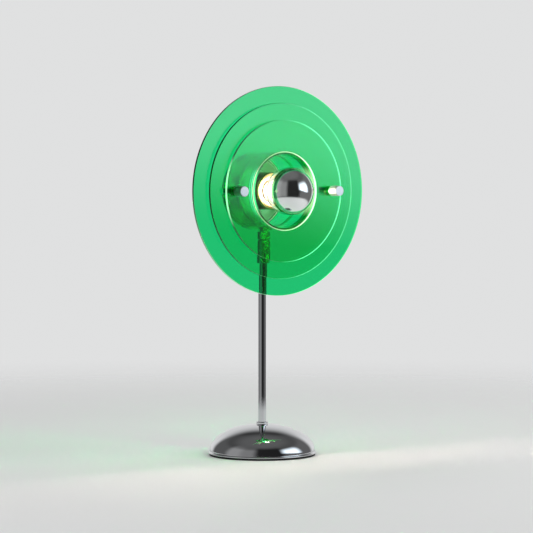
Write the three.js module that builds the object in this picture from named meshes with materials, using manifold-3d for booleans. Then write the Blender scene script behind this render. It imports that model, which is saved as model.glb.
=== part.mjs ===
// A table lamp with a turning head: three stacked green acrylic rings round a clear green tube, a
// crown-silvered globe bulb in front of a brushed plate, a slim chromed stem and a domed, weighted foot.
// Millimetres, +Z up. The origin is the middle of the foot's underside, and the head faces -Y.
import * as THREE from "three";
import { mergeVertices } from "three/addons/utils/BufferGeometryUtils.js";
import Module from "manifold-3d";

const wasm = await Module();
wasm.setup();

// Fits
const SEAT_GAP = 0.3; // between two pieces that rest on each other
const CUT_OVERRUN = 2; // how far a cutter runs past the face that it cuts

// Foot: every height here is counted from the table
const DOME_RADIUS = 66.8; // the dome above its rim
const DOME_HEIGHT = 34.6; // from the rim's top to the crown
const DOME_WALL = 1.6;
const DOME_SEAT_MARGIN = 1.2; // flat of the crown outside the collar
const RIM_PROUD = 1.2; // how far the rolled rim stands out
const RIM_HEIGHT = 2.1;
const PAD_INSET = 1.5; // from the rim's edge to the pad's
const PAD_THICKNESS = 2;
const BASE_PLATE_THICKNESS = 1.5;
const BASE_PLATE_EDGE_GAP = 0.6;
const WEIGHT_SHELL_GAP = 1.6; // between the weight and the dome over it
const WEIGHT_HEIGHT = 22.5;
const WEIGHT_RECESS_MARGIN = 3; // round the stem's washer
const WEIGHT_RECESS_HEIGHT = 14.2;
const PLATE_SCREW_RADIUS = 1.5;
const PLATE_SCREW_HEAD_RADIUS = 2.8;
const PLATE_SCREW_HEAD_HEIGHT = 1.3;
const PLATE_SCREW_LENGTH = 8;
const PLATE_SCREW_INSET = 28.8; // from the dome's widest
const PLATE_SCREW_COUNT = 3;

// Cable entry, at the back of the foot
const GLAND_BORE_RADIUS = 3.3;
const GLAND_WALL = 1;
const GLAND_FLANGE_WIDTH = 1.3;
const GLAND_FLANGE_THICKNESS = 2.4;
const GLAND_NOSE_LENGTH = 5;
const GLAND_NOSE_WALL = 0.7;
const GLAND_CLEARANCE = 1.8; // under the flange, over the closing plate
const GLAND_INNER_SETBACK = 6.6; // from the dome's widest to the inner flange
const TERMINAL_WIDTH = 14;
const TERMINAL_LENGTH = 16;
const TERMINAL_HEIGHT = 9;
const TERMINAL_CLEARANCE = 8.8; // from the bush to the block, for the cord's cores
const POCKET_CLEARANCE = 3; // round the block and over the bush, in the weight

// Stem
const TUBE_RADIUS = 5;
const TUBE_WALL = 1.2;
const TUBE_STICKOUT = 0.3; // below the nut at its foot
const COLLAR_WALL = 2.1;
const COLLAR_HEIGHT = 2.7;
const STEM_WASHER_WIDTH = 4.7;
const STEM_WASHER_THICKNESS = 1.4;
const STEM_NUT_WALL = 2.2;
const STEM_NUT_HEIGHT = 4;
const LEAD_RADIUS = 2; // the two-core lead inside the lamp
const LEAD_CLEARANCE = 0.9; // under it, along the foot
const LEAD_BEND_RADIUS = 8;

// Swivel on the stem
const SLEEVE_WALL = 3.2; // round the stem tube
const SLEEVE_LENGTH = 28.6;
const SLEEVE_CHAMFER = 0.7;
const SLEEVE_SOCKET_DEPTH = 15; // how far the stem tube reaches into it
const SET_SCREW_RADIUS = 1.8;
const SET_SCREW_RISE = 11.6; // above the sleeve's lower end
const SET_SCREW_RECESS = 0.4;
const SET_SCREW_SOCKET_RADIUS = 0.9;
const SET_SCREW_SOCKET_DEPTH = 1;
const NIPPLE_BORE_RADIUS = 3.1; // threaded hollow nipples of the lamp
const NIPPLE_WALL = 1.7;
const SWIVEL_WASHER_THICKNESS = 0.8;
const SWIVEL_WASHER_INSET = 1; // from the sleeve's outside
const CAP_FLOOR = 3;
const CAP_WALL = 1.3;
const CAP_ROOM = 0.9; // over the nut, under the neck's skirt
const SWIVEL_NUT_HEIGHT = 2.8;
const SWIVEL_NUT_CLEARANCE = 0.5;

// Neck between the swivel and the head
const NECK_REACH = 1.7; // bare length between the swivel cap and the tube
const NECK_STEP = 0.9; // from its skirt in to its waist
const NECK_SKIRT_HEIGHT = 2.6; // the part screwed into the swivel cap
const NECK_TIP_LENGTH = 7.6; // above the tube wall's inside
const SADDLE_WIDTH = 3.4;
const SADDLE_HEIGHT = 2.2;
const NECK_NUT_WALL = 1.9;
const NECK_NUT_HEIGHT = 3.2;

// Head: distances along it are counted forwards from the stem's axis
const HEAD_HEIGHT = 332; // the head's axis above the table
const SHELL_RADIUS = 49; // outside of the acrylic tubes
const SHELL_WALL = 3;
const TUBE_JOINT = 16; // where the rear tube meets the front tube
const SPIGOT_LENGTH = 3;
const SPIGOT_WALL = 1.3;
const TUBE_PROUD = 0.4; // how far the front tube passes the smallest disc
const PLATE_FACE = -17.6; // the brushed face of the back plate
const PLATE_LIP = 1; // the step that centres the plate in the tube
const PLATE_THICKNESS = 2;
const DISC_NAMES = ["small", "middle", "large"];
const DISC_RADIUS = 88; // the smallest, at the front
const DISC_STEP = 21; // each further back is larger by this
const DISC_THICKNESS = 3;
const DISC_FRONT = 48; // the front face of the smallest disc

// Studs that clamp the three discs
const STUD_INSET = 15; // from the smallest disc's edge to a stud's axis
const ROD_RADIUS = 2.7;
const FRONT_CAP_RADIUS = 6.4;
const FRONT_CAP_LENGTH = 15;
const FRONT_CAP_CHAMFER = 0.5;
const REAR_CAP_RADIUS = 5;
const REAR_CAP_LENGTH = 12.4;
const REAR_CAP_END_WALL = 2.1;
const STUD_WASHER_WIDTH = 2.4;
const STUD_WASHER_THICKNESS = 0.8;
const SPACER_WIDTH = 3;
const SPACER_THICKNESS = 1.6;

// Lampholder
const HOUSING_WALL = 1.9;
const HOUSING_LENGTH = 36.9;
const HOUSING_BACK_THICKNESS = 2.4;
const ENTRY_SETBACK = 10; // from the plate's face to the lead's entry
const ENTRY_CLEARANCE = 0.6;
const RING_WIDTH = 5.2;
const RING_THICKNESS = 2.9;
const RING_EDGE = 0.9;
const RING_SKIRT_WALL = 1.5;
const RING_SKIRT_LENGTH = 5;
const CORE_WALL = 4.5; // round the screw shell
const CORE_CLEARANCE = 0.5;
const CORE_FLOOR = 4.4;
const WIRING_SPACE = 6.9; // behind the core, inside the housing
const THREAD_CLEARANCE = 0.6; // round the bulb's cap
const SCREW_SHELL_WALL = 0.6;
const SCREW_SHELL_LENGTH = 16;
const CONTACT_RADIUS = 5;
const CONTACT_THICKNESS = 1;
const RIVET_RADIUS = 1.8;
const HOLDER_NIPPLE_STICKOUT = 0.7; // behind its nut
const HOLDER_NIPPLE_INSIDE = 3.6; // how much of it stands inside the housing
const HOLDER_WASHER_WIDTH = 3.9;
const HOLDER_WASHER_THICKNESS = 1.2;
const HOLDER_NUT_WALL = 1.9;
const HOLDER_NUT_HEIGHT = 3.6;

// Bulb
const GLOBE_RADIUS = 30;
const GLASS_WALL = 0.9;
const MIRROR_THICKNESS = 0.4;
const MIRROR_EDGE = 13; // the silvering starts this far ahead of the globe's centre
const BULB_CAP_RADIUS = 13.2;
const BULB_CAP_WALL = 0.4;
const BULB_CAP_LENGTH = 15.8;
const BULB_NECK_CLEARANCE = 0.4; // between the glass neck and the cap round it
const BULB_NECK_ENTRY = 3.4; // how far the glass neck reaches into the cap
const BULB_REACH = 37.6; // from the cap's front to the globe's centre
const BULB_FLARE_WIDTH = 4.2; // by which the neck widens into the globe
const INSULATOR_BACK_RADIUS = 5;
const INSULATOR_LENGTH = 4.9;
const TIP_RADIUS = 4.4;
const TIP_THICKNESS = 1.1;
const MOUNT_FLARE_LENGTH = 9;
const MOUNT_RADIUS = 3;
const MOUNT_LENGTH = 25.1;
const FILAMENT_RADIUS = 0.5;
const FILAMENT_SPAN = 9; // half the width of the filament's arch
const FILAMENT_RISE = 9;

// Counts of sides and steps
const HEX_SIDES = 6;
const DISC_SIDES = 72;
const SHELL_SIDES = 40;
const HOLDER_SIDES = 28;
const DOME_SIDES = 40;
const GLOBE_SIDES = 28;
const ROUND_SIDES = 20;
const SMALL_SIDES = 12;
const LEAD_SIDES = 8;
const FILAMENT_SIDES = 6;
const DOME_STEPS = 7;
const WEIGHT_STEPS = 4;
const GLOBE_STEPS = 5;
const CROWN_STEPS = 4;
const BEND_STEPS = 4;
const LOWER_LEAD_STEPS = 52;
const UPPER_LEAD_STEPS = 14;
const FILAMENT_STEPS = 24;

// Radii and heights of the foot and the stem
const tubeHoleRadius = TUBE_RADIUS + SEAT_GAP;
const collarRadius = tubeHoleRadius + COLLAR_WALL;
const rimRadius = DOME_RADIUS + RIM_PROUD;
const padRadius = rimRadius - PAD_INSET;
const rimBottom = PAD_THICKNESS + SEAT_GAP;
const rimTop = rimBottom + RIM_HEIGHT;
const seatAngle = Math.acos((collarRadius + DOME_SEAT_MARGIN) / DOME_RADIUS);
const domeTop = rimTop + DOME_HEIGHT * Math.sin(seatAngle);
const basePlateTop = rimBottom + BASE_PLATE_THICKNESS;
const weightBottom = basePlateTop + SEAT_GAP;
const weightTop = weightBottom + WEIGHT_HEIGHT;
const recessTop = weightBottom + WEIGHT_RECESS_HEIGHT;
const glandBodyRadius = GLAND_BORE_RADIUS + GLAND_WALL;
const glandFlangeRadius = glandBodyRadius + GLAND_FLANGE_WIDTH;
const glandHeight = basePlateTop + glandFlangeRadius + GLAND_CLEARANCE;
const glandInside = DOME_RADIUS - GLAND_INNER_SETBACK;
const terminalBack = glandInside - GLAND_FLANGE_THICKNESS - TERMINAL_CLEARANCE;
const terminalFront = terminalBack - TERMINAL_LENGTH;
const pocketTop = glandHeight + glandFlangeRadius + POCKET_CLEARANCE;
const leadHeight = weightBottom + LEAD_CLEARANCE + LEAD_RADIUS;
const collarBottom = domeTop + SEAT_GAP;
const stemWasherRadius = tubeHoleRadius + STEM_WASHER_WIDTH;
const stemWasherBottom = recessTop - SEAT_GAP - STEM_WASHER_THICKNESS;
const stemNutBottom = stemWasherBottom - SEAT_GAP - STEM_NUT_HEIGHT;

// The swivel hangs from the head's height, and the stem tube reaches up into it
const shellBore = SHELL_RADIUS - SHELL_WALL;
const shellInside = HEAD_HEIGHT - shellBore; // height of the tube's inner wall over the neck
const neckShoulder = HEAD_HEIGHT - SHELL_RADIUS - SEAT_GAP;
const neckTip = shellInside + NECK_TIP_LENGTH;
const saddleTop = shellInside + SEAT_GAP + SADDLE_HEIGHT;
const capHeight = CAP_FLOOR + SEAT_GAP + SWIVEL_NUT_HEIGHT + CAP_ROOM + NECK_SKIRT_HEIGHT;
const capTop = neckShoulder - NECK_REACH;
const capBottom = capTop - capHeight;
const swivelWasherBottom = capBottom - SEAT_GAP - SWIVEL_WASHER_THICKNESS;
const sleeveTop = swivelWasherBottom - SEAT_GAP;
const sleeveBottom = sleeveTop - SLEEVE_LENGTH;
const tubeTop = sleeveBottom + SLEEVE_SOCKET_DEPTH;
const setScrewHeight = sleeveBottom + SET_SCREW_RISE;
const swivelNutBottom = capBottom + CAP_FLOOR + SEAT_GAP;
const neckBottom = capTop - NECK_SKIRT_HEIGHT;
const swivelNippleTop = neckBottom - SEAT_GAP;
const leadSplit = neckBottom; // the lower lead ends under the turning neck
const sleeveRadius = TUBE_RADIUS + SLEEVE_WALL;
const capBoreRadius = sleeveRadius - CAP_WALL;
const neckSkirtRadius = capBoreRadius - SEAT_GAP;
const nippleRadius = NIPPLE_BORE_RADIUS + NIPPLE_WALL;
const nippleHoleRadius = nippleRadius + SEAT_GAP;

// Places along the head
const discPitch = DISC_THICKNESS + SPACER_THICKNESS + 2 * SEAT_GAP;
const discBack = (row) => DISC_FRONT - DISC_THICKNESS - row * discPitch;
const stackBack = discBack(DISC_NAMES.length - 1);
const studOffset = DISC_RADIUS - STUD_INSET; // from the head's axis
const rodBite = REAR_CAP_LENGTH - REAR_CAP_END_WALL - SEAT_GAP; // how far the rod enters each cap
const rodHoleRadius = ROD_RADIUS + SEAT_GAP;
const frontTubeEnd = DISC_FRONT + TUBE_PROUD;
const plateStep = PLATE_FACE - PLATE_LIP;
const plateBack = plateStep - PLATE_THICKNESS;
const housingBack = PLATE_FACE + SEAT_GAP;
const housingFloor = housingBack + HOUSING_BACK_THICKNESS;
const housingFront = housingBack + HOUSING_LENGTH;
const screwShellBore = BULB_CAP_RADIUS + THREAD_CLEARANCE;
const screwShellRadius = screwShellBore + SCREW_SHELL_WALL;
const coreRadius = screwShellRadius + SEAT_GAP + CORE_WALL;
const ringSkirtRadius = coreRadius + CORE_CLEARANCE + RING_SKIRT_WALL;
const housingBore = ringSkirtRadius + SEAT_GAP;
const housingRadius = housingBore + HOUSING_WALL;
const ringBoreRadius = housingRadius - RING_WIDTH;
const ringBack = housingFront + SEAT_GAP;
const ringFront = ringBack + RING_THICKNESS;
const coreBack = housingFloor + WIRING_SPACE;
const coreFront = ringBack - SEAT_GAP;
const contactBack = coreBack + CORE_FLOOR + SEAT_GAP;
const contactFront = contactBack + CONTACT_THICKNESS;
const screwShellBack = contactFront + SEAT_GAP;
const leadEntry = -(PLATE_FACE + ENTRY_SETBACK); // behind the stem's axis

// Places along the bulb, from the tip that rests on the centre contact
const tipBack = contactFront + SEAT_GAP;
const tipFront = tipBack + TIP_THICKNESS;
const insulatorBack = tipFront + SEAT_GAP;
const insulatorFront = insulatorBack + INSULATOR_LENGTH;
const bulbCapBack = insulatorFront + SEAT_GAP;
const bulbCapFront = bulbCapBack + BULB_CAP_LENGTH;
const bulbCapBore = BULB_CAP_RADIUS - BULB_CAP_WALL;
const bulbNeckRadius = bulbCapBore - BULB_NECK_CLEARANCE;
const bulbNeckBore = bulbNeckRadius - GLASS_WALL;
const bulbNeckBack = bulbCapFront - BULB_NECK_ENTRY;
const bulbFlareRadius = bulbNeckRadius + BULB_FLARE_WIDTH;
const globeCentre = bulbCapFront + BULB_REACH;
const mountBack = bulbNeckBack + GLASS_WALL;
const mountFront = mountBack + MOUNT_LENGTH;
const mirrorAngle = Math.asin(MIRROR_EDGE / GLOBE_RADIUS);

// Finishes
const finish = (name, color, metalness, roughness, more = {}) =>
  new THREE.MeshStandardMaterial({ name, color, metalness, roughness, ...more });
const chrome = finish("chrome", 0xd9dbde, 1, 0.07);
const brushed = finish("brushed", 0xb9bcbc, 1, 0.34);
const steel = finish("steel", 0xa9abac, 1, 0.4);
const castIron = finish("cast_iron", 0x3c3d3e, 0.8, 0.75);
const pad = finish("pad", 0x101010, 0, 0.9);
const blackPlastic = finish("black_plastic", 0x17130f, 0, 0.4);
const bronze = finish("bronze_ring", 0xc69a4c, 1, 0.25);
const brass = finish("brass", 0xcaa64f, 1, 0.3);
const ceramic = finish("ceramic", 0xf4f2ea, 0, 0.35);
const leadSheath = finish("lead_sheath", 0xe6e6e2, 0, 0.5);
const acrylic = finish("green_acrylic", 0x19c46a, 0, 0.04, { transparent: true, opacity: 0.45 });
const glass = finish("bulb_glass", 0xf3f6f4, 0, 0.02, { transparent: true, opacity: 0.3 });
const silver = finish("silvering", 0xdfe1e4, 1, 0.04);
const tungsten = finish("tungsten", 0xffe0a8, 0.6, 0.4);
const insulator = finish("insulator", 0x1b1512, 0, 0.2);

// A solid of revolution round its own Y axis. The outline is [radius, distance] pairs that run
// up the outside; one that has a bore is closed on itself.
function turned(outline, sides, bored = false) {
  const points = outline.map(([radius, along]) => new THREE.Vector2(radius, along));
  if (bored) points.push(points[0].clone());
  return new THREE.LatheGeometry(points, sides);
}

function rod(radius, from, to, sides = SMALL_SIDES) {
  return turned([[0, from], [radius, from], [radius, to], [0, to]], sides);
}

function sleeve(outer, bore, from, to, sides = SMALL_SIDES) {
  return turned([[bore, from], [outer, from], [outer, to], [bore, to]], sides, true);
}

function circle(radius, sides, centreX = 0) {
  const angles = Array.from({ length: sides }, (_, step) => (2 * Math.PI * step) / sides);
  return angles.map(
    (angle) => new THREE.Vector2(centreX + radius * Math.cos(angle), radius * Math.sin(angle)),
  );
}

// A flat plate along its own Y axis, from an outline and its holes.
function flat(outline, holes, from, to) {
  const shape = new THREE.Shape(outline);
  holes.forEach((hole) => shape.holes.push(new THREE.Path(hole)));
  const geometry = new THREE.ExtrudeGeometry(shape, { depth: to - from, bevelEnabled: false });
  return geometry.rotateX(-Math.PI / 2).translate(0, from, 0);
}

function hexNut(bore, wall, from, to) {
  const corner = (bore + wall) / Math.cos(Math.PI / HEX_SIDES);
  return flat(circle(corner, HEX_SIDES), [circle(bore, SMALL_SIDES)], from, to);
}

function block(x0, x1, y0, y1, z0, z1) {
  const box = new THREE.BoxGeometry(x1 - x0, y1 - y0, z1 - z0);
  return box.translate((x0 + x1) / 2, (y0 + y1) / 2, (z0 + z1) / 2);
}

function solidOf(geometry) {
  const bare = geometry.clone();
  bare.deleteAttribute("normal");
  bare.deleteAttribute("uv");
  const merged = mergeVertices(bare);
  const mesh = new wasm.Mesh({
    numProp: 3,
    vertProperties: merged.attributes.position.array,
    triVerts: new Uint32Array(merged.index.array),
  });
  return new wasm.Manifold(mesh);
}

function geometryOf(solid) {
  const mesh = solid.getMesh();
  const geometry = new THREE.BufferGeometry();
  geometry.setAttribute("position", new THREE.BufferAttribute(mesh.vertProperties, 3));
  geometry.setIndex(new THREE.BufferAttribute(mesh.triVerts, 1));
  geometry.computeVertexNormals();
  return geometry;
}

function cut(geometry, ...cutters) {
  return geometryOf(cutters.reduce((left, tool) => left.subtract(solidOf(tool)), solidOf(geometry)));
}

// A round tube along a smooth path through points.
function lead(points, radius, sides, steps) {
  const path = new THREE.CatmullRomCurve3(points, false, "centripetal");
  const section = new THREE.Shape(circle(radius, sides));
  return new THREE.ExtrudeGeometry(section, { steps, extrudePath: path, bevelEnabled: false });
}

function add(group, name, material, geometry) {
  const mesh = new THREE.Mesh(geometry, material);
  mesh.name = name;
  group.add(mesh);
  return mesh;
}

// Outline of the dome, or of a surface that lies inset from it, between two heights over the rim.
function domeOutline(inset, fromRise, toRise, steps) {
  const radius = DOME_RADIUS - inset;
  const height = DOME_HEIGHT - inset;
  const first = Math.asin(fromRise / height);
  const last = Math.asin(Math.min(1, toRise / height));
  return Array.from({ length: steps + 1 }, (_, step) => {
    const angle = first + ((last - first) * step) / steps;
    return [radius * Math.cos(angle), rimTop + height * Math.sin(angle)];
  });
}

function domeShell() {
  const inner = DOME_RADIUS - DOME_WALL;
  const ceiling = domeTop - DOME_WALL;
  const ceilingRise = ceiling - rimTop;
  const outline = [
    [inner, rimBottom],
    [rimRadius, rimBottom],
    [rimRadius, rimTop],
    ...domeOutline(0, 0, domeTop - rimTop, DOME_STEPS),
    [tubeHoleRadius, domeTop],
    [tubeHoleRadius, ceiling],
    ...domeOutline(DOME_WALL, 0, ceilingRise, DOME_STEPS).reverse(),
  ];
  const entry = rod(glandBodyRadius + SEAT_GAP, 0, rimRadius + CUT_OVERRUN, ROUND_SIDES);
  entry.rotateX(-Math.PI / 2).translate(0, glandHeight, 0);
  return cut(turned(outline, DOME_SIDES, true), entry);
}

function weight() {
  const inset = DOME_WALL + WEIGHT_SHELL_GAP;
  const outline = [
    [0, weightBottom],
    [DOME_RADIUS - inset, weightBottom],
    ...domeOutline(inset, SEAT_GAP, weightTop - rimTop, WEIGHT_STEPS),
    [0, weightTop],
  ];
  const low = weightBottom - CUT_OVERRUN;
  const pocketHalf = TERMINAL_WIDTH / 2 + POCKET_CLEARANCE;
  const pocketFront = -(terminalFront - POCKET_CLEARANCE);
  const channelTop = leadHeight + LEAD_RADIUS + SEAT_GAP;
  const channelHalf = LEAD_RADIUS + SEAT_GAP + LEAD_RADIUS / 2;
  const tapped = screwPlaces().map(([x, z]) =>
    rod(PLATE_SCREW_RADIUS + SEAT_GAP, low, rimBottom + PLATE_SCREW_LENGTH + CUT_OVERRUN)
      .translate(x, 0, z));
  return cut(
    turned(outline, DOME_SIDES),
    rod(tubeHoleRadius, low, weightTop + CUT_OVERRUN, ROUND_SIDES),
    rod(stemWasherRadius + WEIGHT_RECESS_MARGIN, low, recessTop, ROUND_SIDES),
    block(-pocketHalf, pocketHalf, low, pocketTop, -rimRadius, pocketFront),
    block(-channelHalf, channelHalf, low, channelTop, pocketFront - CUT_OVERRUN, 0),
    ...tapped,
  );
}

// The closing plate's screws stand on a circle, the first at the front.
function screwPlaces() {
  const radius = DOME_RADIUS - PLATE_SCREW_INSET;
  return Array.from({ length: PLATE_SCREW_COUNT }, (_, index) => {
    const angle = Math.PI / 2 + (2 * Math.PI * index) / PLATE_SCREW_COUNT;
    return [radius * Math.cos(angle), radius * Math.sin(angle)];
  });
}

// A countersunk screw's outline, larger by a gap where it cuts its own seat.
function screwOutline(gap, low) {
  const headTop = rimBottom + PLATE_SCREW_HEAD_HEIGHT;
  return turned([
    [0, low],
    [PLATE_SCREW_HEAD_RADIUS + gap, low],
    [PLATE_SCREW_HEAD_RADIUS + gap, rimBottom + gap],
    [PLATE_SCREW_RADIUS + gap, headTop],
    [PLATE_SCREW_RADIUS + gap, rimBottom + PLATE_SCREW_LENGTH],
    [0, rimBottom + PLATE_SCREW_LENGTH],
  ], SMALL_SIDES);
}

function basePlate() {
  const radius = DOME_RADIUS - DOME_WALL - BASE_PLATE_EDGE_GAP;
  const seats = screwPlaces().map(([x, z]) =>
    screwOutline(SEAT_GAP, rimBottom - CUT_OVERRUN).translate(x, 0, z));
  return cut(rod(radius, rimBottom, basePlateTop, DOME_SIDES), ...seats);
}

// The entry bush: a flange inside, a flange outside and a short tapered nose.
function gland() {
  const outside = DOME_RADIUS + SEAT_GAP;
  const noseBack = outside + GLAND_FLANGE_THICKNESS;
  const noseRadius = GLAND_BORE_RADIUS + GLAND_NOSE_WALL;
  return turned([
    [GLAND_BORE_RADIUS, glandInside - GLAND_FLANGE_THICKNESS],
    [glandFlangeRadius, glandInside - GLAND_FLANGE_THICKNESS],
    [glandFlangeRadius, glandInside],
    [glandBodyRadius, glandInside],
    [glandBodyRadius, outside],
    [glandFlangeRadius, outside],
    [glandFlangeRadius, noseBack],
    [noseRadius, noseBack + GLAND_NOSE_LENGTH],
    [GLAND_BORE_RADIUS, noseBack + GLAND_NOSE_LENGTH],
  ], ROUND_SIDES, true);
}

function lowerLead() {
  const blockFace = terminalFront - SEAT_GAP;
  const bend = Array.from({ length: BEND_STEPS }, (_, step) => {
    const angle = (Math.PI / 2) * (step / BEND_STEPS);
    const back = LEAD_BEND_RADIUS * (1 - Math.sin(angle));
    const up = LEAD_BEND_RADIUS * (1 - Math.cos(angle));
    return new THREE.Vector3(0, leadHeight + up, -back);
  });
  const bendTop = leadHeight + LEAD_BEND_RADIUS;
  return lead([
    new THREE.Vector3(0, leadHeight, -blockFace),
    new THREE.Vector3(0, leadHeight, -(blockFace + LEAD_BEND_RADIUS) / 2),
    ...bend,
    new THREE.Vector3(0, bendTop, 0),
    new THREE.Vector3(0, bendTop + LEAD_BEND_RADIUS, 0),
    new THREE.Vector3(0, leadSplit - SEAT_GAP, 0),
  ], LEAD_RADIUS, LEAD_SIDES, LOWER_LEAD_STEPS);
}

function swivelSleeve() {
  const shoulder = tubeTop + SEAT_GAP;
  const body = turned([
    [tubeHoleRadius, sleeveBottom],
    [sleeveRadius - SLEEVE_CHAMFER, sleeveBottom],
    [sleeveRadius, sleeveBottom + SLEEVE_CHAMFER],
    [sleeveRadius, sleeveTop - SLEEVE_CHAMFER],
    [sleeveRadius - SLEEVE_CHAMFER, sleeveTop],
    [nippleHoleRadius, sleeveTop],
    [nippleHoleRadius, shoulder],
    [tubeHoleRadius, shoulder],
  ], ROUND_SIDES, true);
  const tapped = rod(SET_SCREW_RADIUS + SEAT_GAP, 0, sleeveRadius + CUT_OVERRUN);
  return cut(body, tapped.rotateX(Math.PI / 2).translate(0, setScrewHeight, 0));
}

function setScrew() {
  const face = sleeveRadius - SET_SCREW_RECESS;
  return turned([
    [0, TUBE_RADIUS + SEAT_GAP],
    [SET_SCREW_RADIUS, TUBE_RADIUS + SEAT_GAP],
    [SET_SCREW_RADIUS, face],
    [SET_SCREW_SOCKET_RADIUS, face],
    [SET_SCREW_SOCKET_RADIUS, face - SET_SCREW_SOCKET_DEPTH],
    [0, face - SET_SCREW_SOCKET_DEPTH],
  ], SMALL_SIDES);
}

function swivelCap() {
  return turned([
    [nippleHoleRadius, capBottom],
    [sleeveRadius - SLEEVE_CHAMFER, capBottom],
    [sleeveRadius, capBottom + SLEEVE_CHAMFER],
    [sleeveRadius, capTop - SLEEVE_CHAMFER],
    [sleeveRadius - SLEEVE_CHAMFER, capTop],
    [capBoreRadius, capTop],
    [capBoreRadius, capBottom + CAP_FLOOR],
    [nippleHoleRadius, capBottom + CAP_FLOOR],
  ], ROUND_SIDES, true);
}

function neck() {
  const waist = neckSkirtRadius - NECK_STEP;
  return turned([
    [NIPPLE_BORE_RADIUS, neckBottom],
    [neckSkirtRadius, neckBottom],
    [neckSkirtRadius, capTop],
    [waist, capTop],
    [waist, neckShoulder],
    [nippleRadius, neckShoulder],
    [nippleRadius, neckTip],
    [NIPPLE_BORE_RADIUS, neckTip],
  ], ROUND_SIDES, true);
}

// A washer whose underside is rounded to the tube's bore. It is cut in the foot's frame, where the
// head's axis lies along Z at the head's height.
function saddle() {
  const outer = nippleHoleRadius + SADDLE_WIDTH;
  const blank = sleeve(outer, nippleHoleRadius, shellInside - SEAT_GAP, saddleTop, ROUND_SIDES);
  const bore = rod(shellBore - SEAT_GAP, -SHELL_RADIUS, SHELL_RADIUS, DISC_SIDES);
  bore.rotateX(Math.PI / 2).translate(0, HEAD_HEIGHT, 0);
  return geometryOf(solidOf(blank).intersect(solidOf(bore)));
}

function upperLead() {
  const entryHeight = HEAD_HEIGHT - housingRadius;
  const rise = entryHeight - neckTip;
  return lead([
    new THREE.Vector3(0, leadSplit, 0),
    new THREE.Vector3(0, (leadSplit + neckTip) / 2, 0),
    new THREE.Vector3(0, neckTip, 0),
    new THREE.Vector3(0, neckTip + rise / 2, -leadEntry / 2),
    new THREE.Vector3(0, entryHeight, -leadEntry),
    new THREE.Vector3(0, entryHeight + HOUSING_WALL + LEAD_RADIUS, -leadEntry),
  ], LEAD_RADIUS, LEAD_SIDES, UPPER_LEAD_STEPS);
}

function buildFoot() {
  const foot = new THREE.Group();
  add(foot, "base_pad", pad, rod(padRadius, 0, PAD_THICKNESS, DOME_SIDES));
  add(foot, "base_plate", steel, basePlate());
  screwPlaces().forEach(([x, z], index) =>
    add(foot, `base_plate_screw_${index + 1}`, steel, screwOutline(0, rimBottom)).position.set(x, 0, z));
  add(foot, "base_dome", chrome, domeShell());
  add(foot, "base_weight", castIron, weight());
  const entry = add(foot, "cable_gland", blackPlastic, gland());
  entry.position.y = glandHeight;
  entry.rotation.x = -Math.PI / 2;
  const half = TERMINAL_WIDTH / 2;
  add(foot, "terminal_block", ceramic,
    block(-half, half, weightBottom, weightBottom + TERMINAL_HEIGHT, -terminalBack, -terminalFront));
  return foot;
}

function buildStem() {
  const stem = new THREE.Group();
  const nutRoof = stemNutBottom + STEM_NUT_HEIGHT;
  const washerTop = stemWasherBottom + STEM_WASHER_THICKNESS;
  const nutTop = swivelNutBottom + SWIVEL_NUT_HEIGHT;
  const nippleFoot = tubeTop + 2 * SEAT_GAP;
  add(stem, "stem_tube", chrome,
    sleeve(TUBE_RADIUS, TUBE_RADIUS - TUBE_WALL, stemNutBottom - TUBE_STICKOUT, tubeTop, ROUND_SIDES));
  add(stem, "stem_collar", chrome,
    sleeve(collarRadius, tubeHoleRadius, collarBottom, collarBottom + COLLAR_HEIGHT, ROUND_SIDES));
  add(stem, "stem_washer", steel,
    sleeve(stemWasherRadius, tubeHoleRadius, stemWasherBottom, washerTop, ROUND_SIDES));
  add(stem, "stem_nut", steel, hexNut(tubeHoleRadius, STEM_NUT_WALL, stemNutBottom, nutRoof));
  add(stem, "lead_lower", leadSheath, lowerLead());
  add(stem, "swivel_sleeve", chrome, swivelSleeve());
  const screw = add(stem, "sleeve_set_screw", steel, setScrew());
  screw.position.y = setScrewHeight;
  screw.rotation.x = Math.PI / 2;
  add(stem, "swivel_nipple", brass, sleeve(nippleRadius, NIPPLE_BORE_RADIUS, nippleFoot, swivelNippleTop));
  add(stem, "swivel_washer", blackPlastic,
    sleeve(sleeveRadius - SWIVEL_WASHER_INSET, nippleHoleRadius, swivelWasherBottom,
      swivelWasherBottom + SWIVEL_WASHER_THICKNESS, ROUND_SIDES));
  add(stem, "swivel_nut", brass,
    sleeve(capBoreRadius - SWIVEL_NUT_CLEARANCE, nippleHoleRadius, swivelNutBottom, nutTop));
  return stem;
}

function buildNeck() {
  const group = new THREE.Group();
  const nutBottom = saddleTop + SEAT_GAP;
  add(group, "swivel_cap", chrome, swivelCap());
  add(group, "neck", chrome, neck());
  add(group, "neck_saddle", brass, saddle());
  add(group, "neck_nut", brass,
    hexNut(nippleHoleRadius, NECK_NUT_WALL, nutBottom, nutBottom + NECK_NUT_HEIGHT));
  add(group, "lead_upper", leadSheath, upperLead());
  return group;
}

function backPlate() {
  const lip = shellBore - SEAT_GAP;
  return turned([
    [nippleHoleRadius, plateBack],
    [SHELL_RADIUS, plateBack],
    [SHELL_RADIUS, plateStep],
    [lip, plateStep],
    [lip, PLATE_FACE],
    [nippleHoleRadius, PLATE_FACE],
  ], SHELL_SIDES, true);
}

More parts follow.
